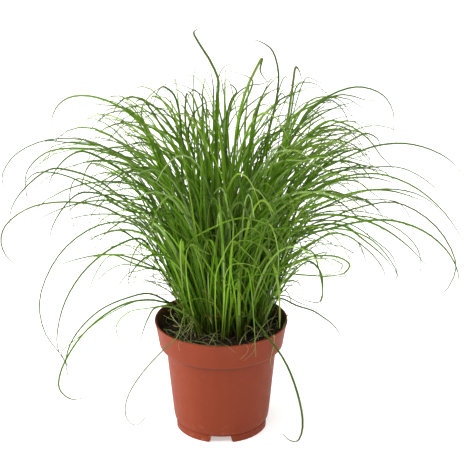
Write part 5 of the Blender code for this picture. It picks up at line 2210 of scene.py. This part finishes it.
# Threads that hang over the rim and cling to the pot: points in millimetres, half width, tone
RIM_THREADS = [
    ([
        (24, -46, 93.5), (27, -53, 101.5), (29, -54.5, 105.7), (30, -54, 100.5), (27, -53.5, 94.5),
        (20, -54.8, 88.5)], 0.18, -0.5),
    ([
        (14, -48, 93.5), (19, -55, 102.5), (21, -57.2, 105.9), (24, -56.6, 101.5), (22, -55.9, 95.5),
        (17, -56.0, 90.5)], 0.15, -0.5),
    ([
        (40, -30, 94.5), (45, -37, 102.5), (46.5, -39.5, 105.9), (47, -38.5, 98.5), (45.5, -37.5, 90.5),
        (44.5, -36, 84.5), (44, -29.5, 76.5), (44.5, -23.5, 68.5), (46, -19.8, 62.5)], 0.6, 0.5),
    ([(47, -20.5, 63.5), (50, -14, 60.5), (55, -11, 59.5), (60, -10, 58.5)], 0.22, -0.1),
    ([
        (-50, -18, 94.5), (-56, -21, 102.5), (-58, -22.2, 105.9), (-60.5, -23, 102.5), (-62, -23, 96.5),
        (-60, -24, 92.5)], 0.34, -0.05),
    ([
        (-30, -42, 93.5), (-34, -48, 101.5), (-35, -50.4, 105.8), (-36.5, -50, 100.5),
        (-35.5, -49.5, 95.5)], 0.22, 0.1),
    ([(2, -50, 93.5), (4, -56, 102), (6, -60.3, 105.8), (9, -60.6, 102.5), (13, -59.0, 98.5)], 0.22, 0.3),
]


@dataclass
class Studio:
    """The plain pale floor under a wide overhead light, with a soft lamp at each side."""

    floor_size: float = 14.0
    world_strength: float = 0.25
    overhead_strength: float = 3.3
    overhead_spread: float = math.radians(75)
    overhead_way: Triple = (0.07, 0.12, -1.0)
    lamp_size: float = 0.9
    aim_height: float = 0.12
    left_place: Triple = (-1.3, -0.2, 0.6)
    left_power: float = 22.0
    right_place: Triple = (1.3, -0.15, 0.6)
    right_power: float = 3.0

    def floor(self) -> None:
        """Lays the floor."""
        bm = bmesh.new()
        bmesh.ops.create_grid(bm, x_segments=1, y_segments=1, size=self.floor_size / 2)
        floor = new_object("floor", kept_mesh("floor", bm))
        floor.data.materials.append(StudioFloor().make())

    def light(self, kind: str, name: str, power: float, way: Vector) -> Piece:
        """A light that shines one way.

        Args:
            kind: The kind of light.
            name: Its name.
            power: Its power in watts, or a sun's strength.
            way: The direction that it shines in.

        Returns:
            The light.
        """
        light = new_object(name, bpy.data.lights.new(name, kind))
        light.data.energy = power
        light.rotation_euler = way.to_track_quat("-Z", "Y").to_euler()
        return light

    def side_lamp(self, name: str, place: Triple, power: float) -> None:
        """A soft square lamp that points at the plant.

        Args:
            name: Its name.
            place: Where it stands.
            power: Its power in watts.
        """
        lamp = self.light("AREA", name, power, Vector((0, 0, self.aim_height)) - Vector(place))
        lamp.data.size = self.lamp_size
        lamp.location = place

    def build(self) -> None:
        """Sets the floor, the lamps and the even light around them."""
        self.floor()
        overhead = self.light("SUN", "overhead", self.overhead_strength, Vector(self.overhead_way))
        overhead.data.angle = self.overhead_spread
        self.side_lamp("left_side", self.left_place, self.left_power)
        self.side_lamp("right_side", self.right_place, self.right_power)
        scene = bpy.context.scene
        scene.world = bpy.data.worlds.new("studio")
        scene.world.use_nodes = True
        background = scene.world.node_tree.nodes["Background"].inputs
        background["Color"].default_value = (1.0, 1.0, 1.0, 1.0)
        background["Strength"].default_value = self.world_strength
        scene.view_settings.view_transform = "Standard"


def main() -> None:
    """Builds the scene, piece by piece."""
    logging.basicConfig(level=logging.INFO, format="%(message)s")
    VIEW.make_camera()
    Studio().build()
    clump = Clump()
    pot = NurseryPot().build(TerracottaPlastic().make(), InnerWallPlastic().make())
    soil = PottingSoil(clump)
    peat = DampPeat().make()
    pieces = [pot, soil.body(peat), soil.crumbs(peat), soil.threads(DeadThread().make())]
    pieces += Foliage(clump).build(SedgeGreen().make())
    for piece in pieces:
        triangles = sum(len(face.vertices) - 2 for face in piece.data.polygons)
        LOG.info("%s: %d triangles", piece.name, triangles)


if __name__ == "__main__":
    main()
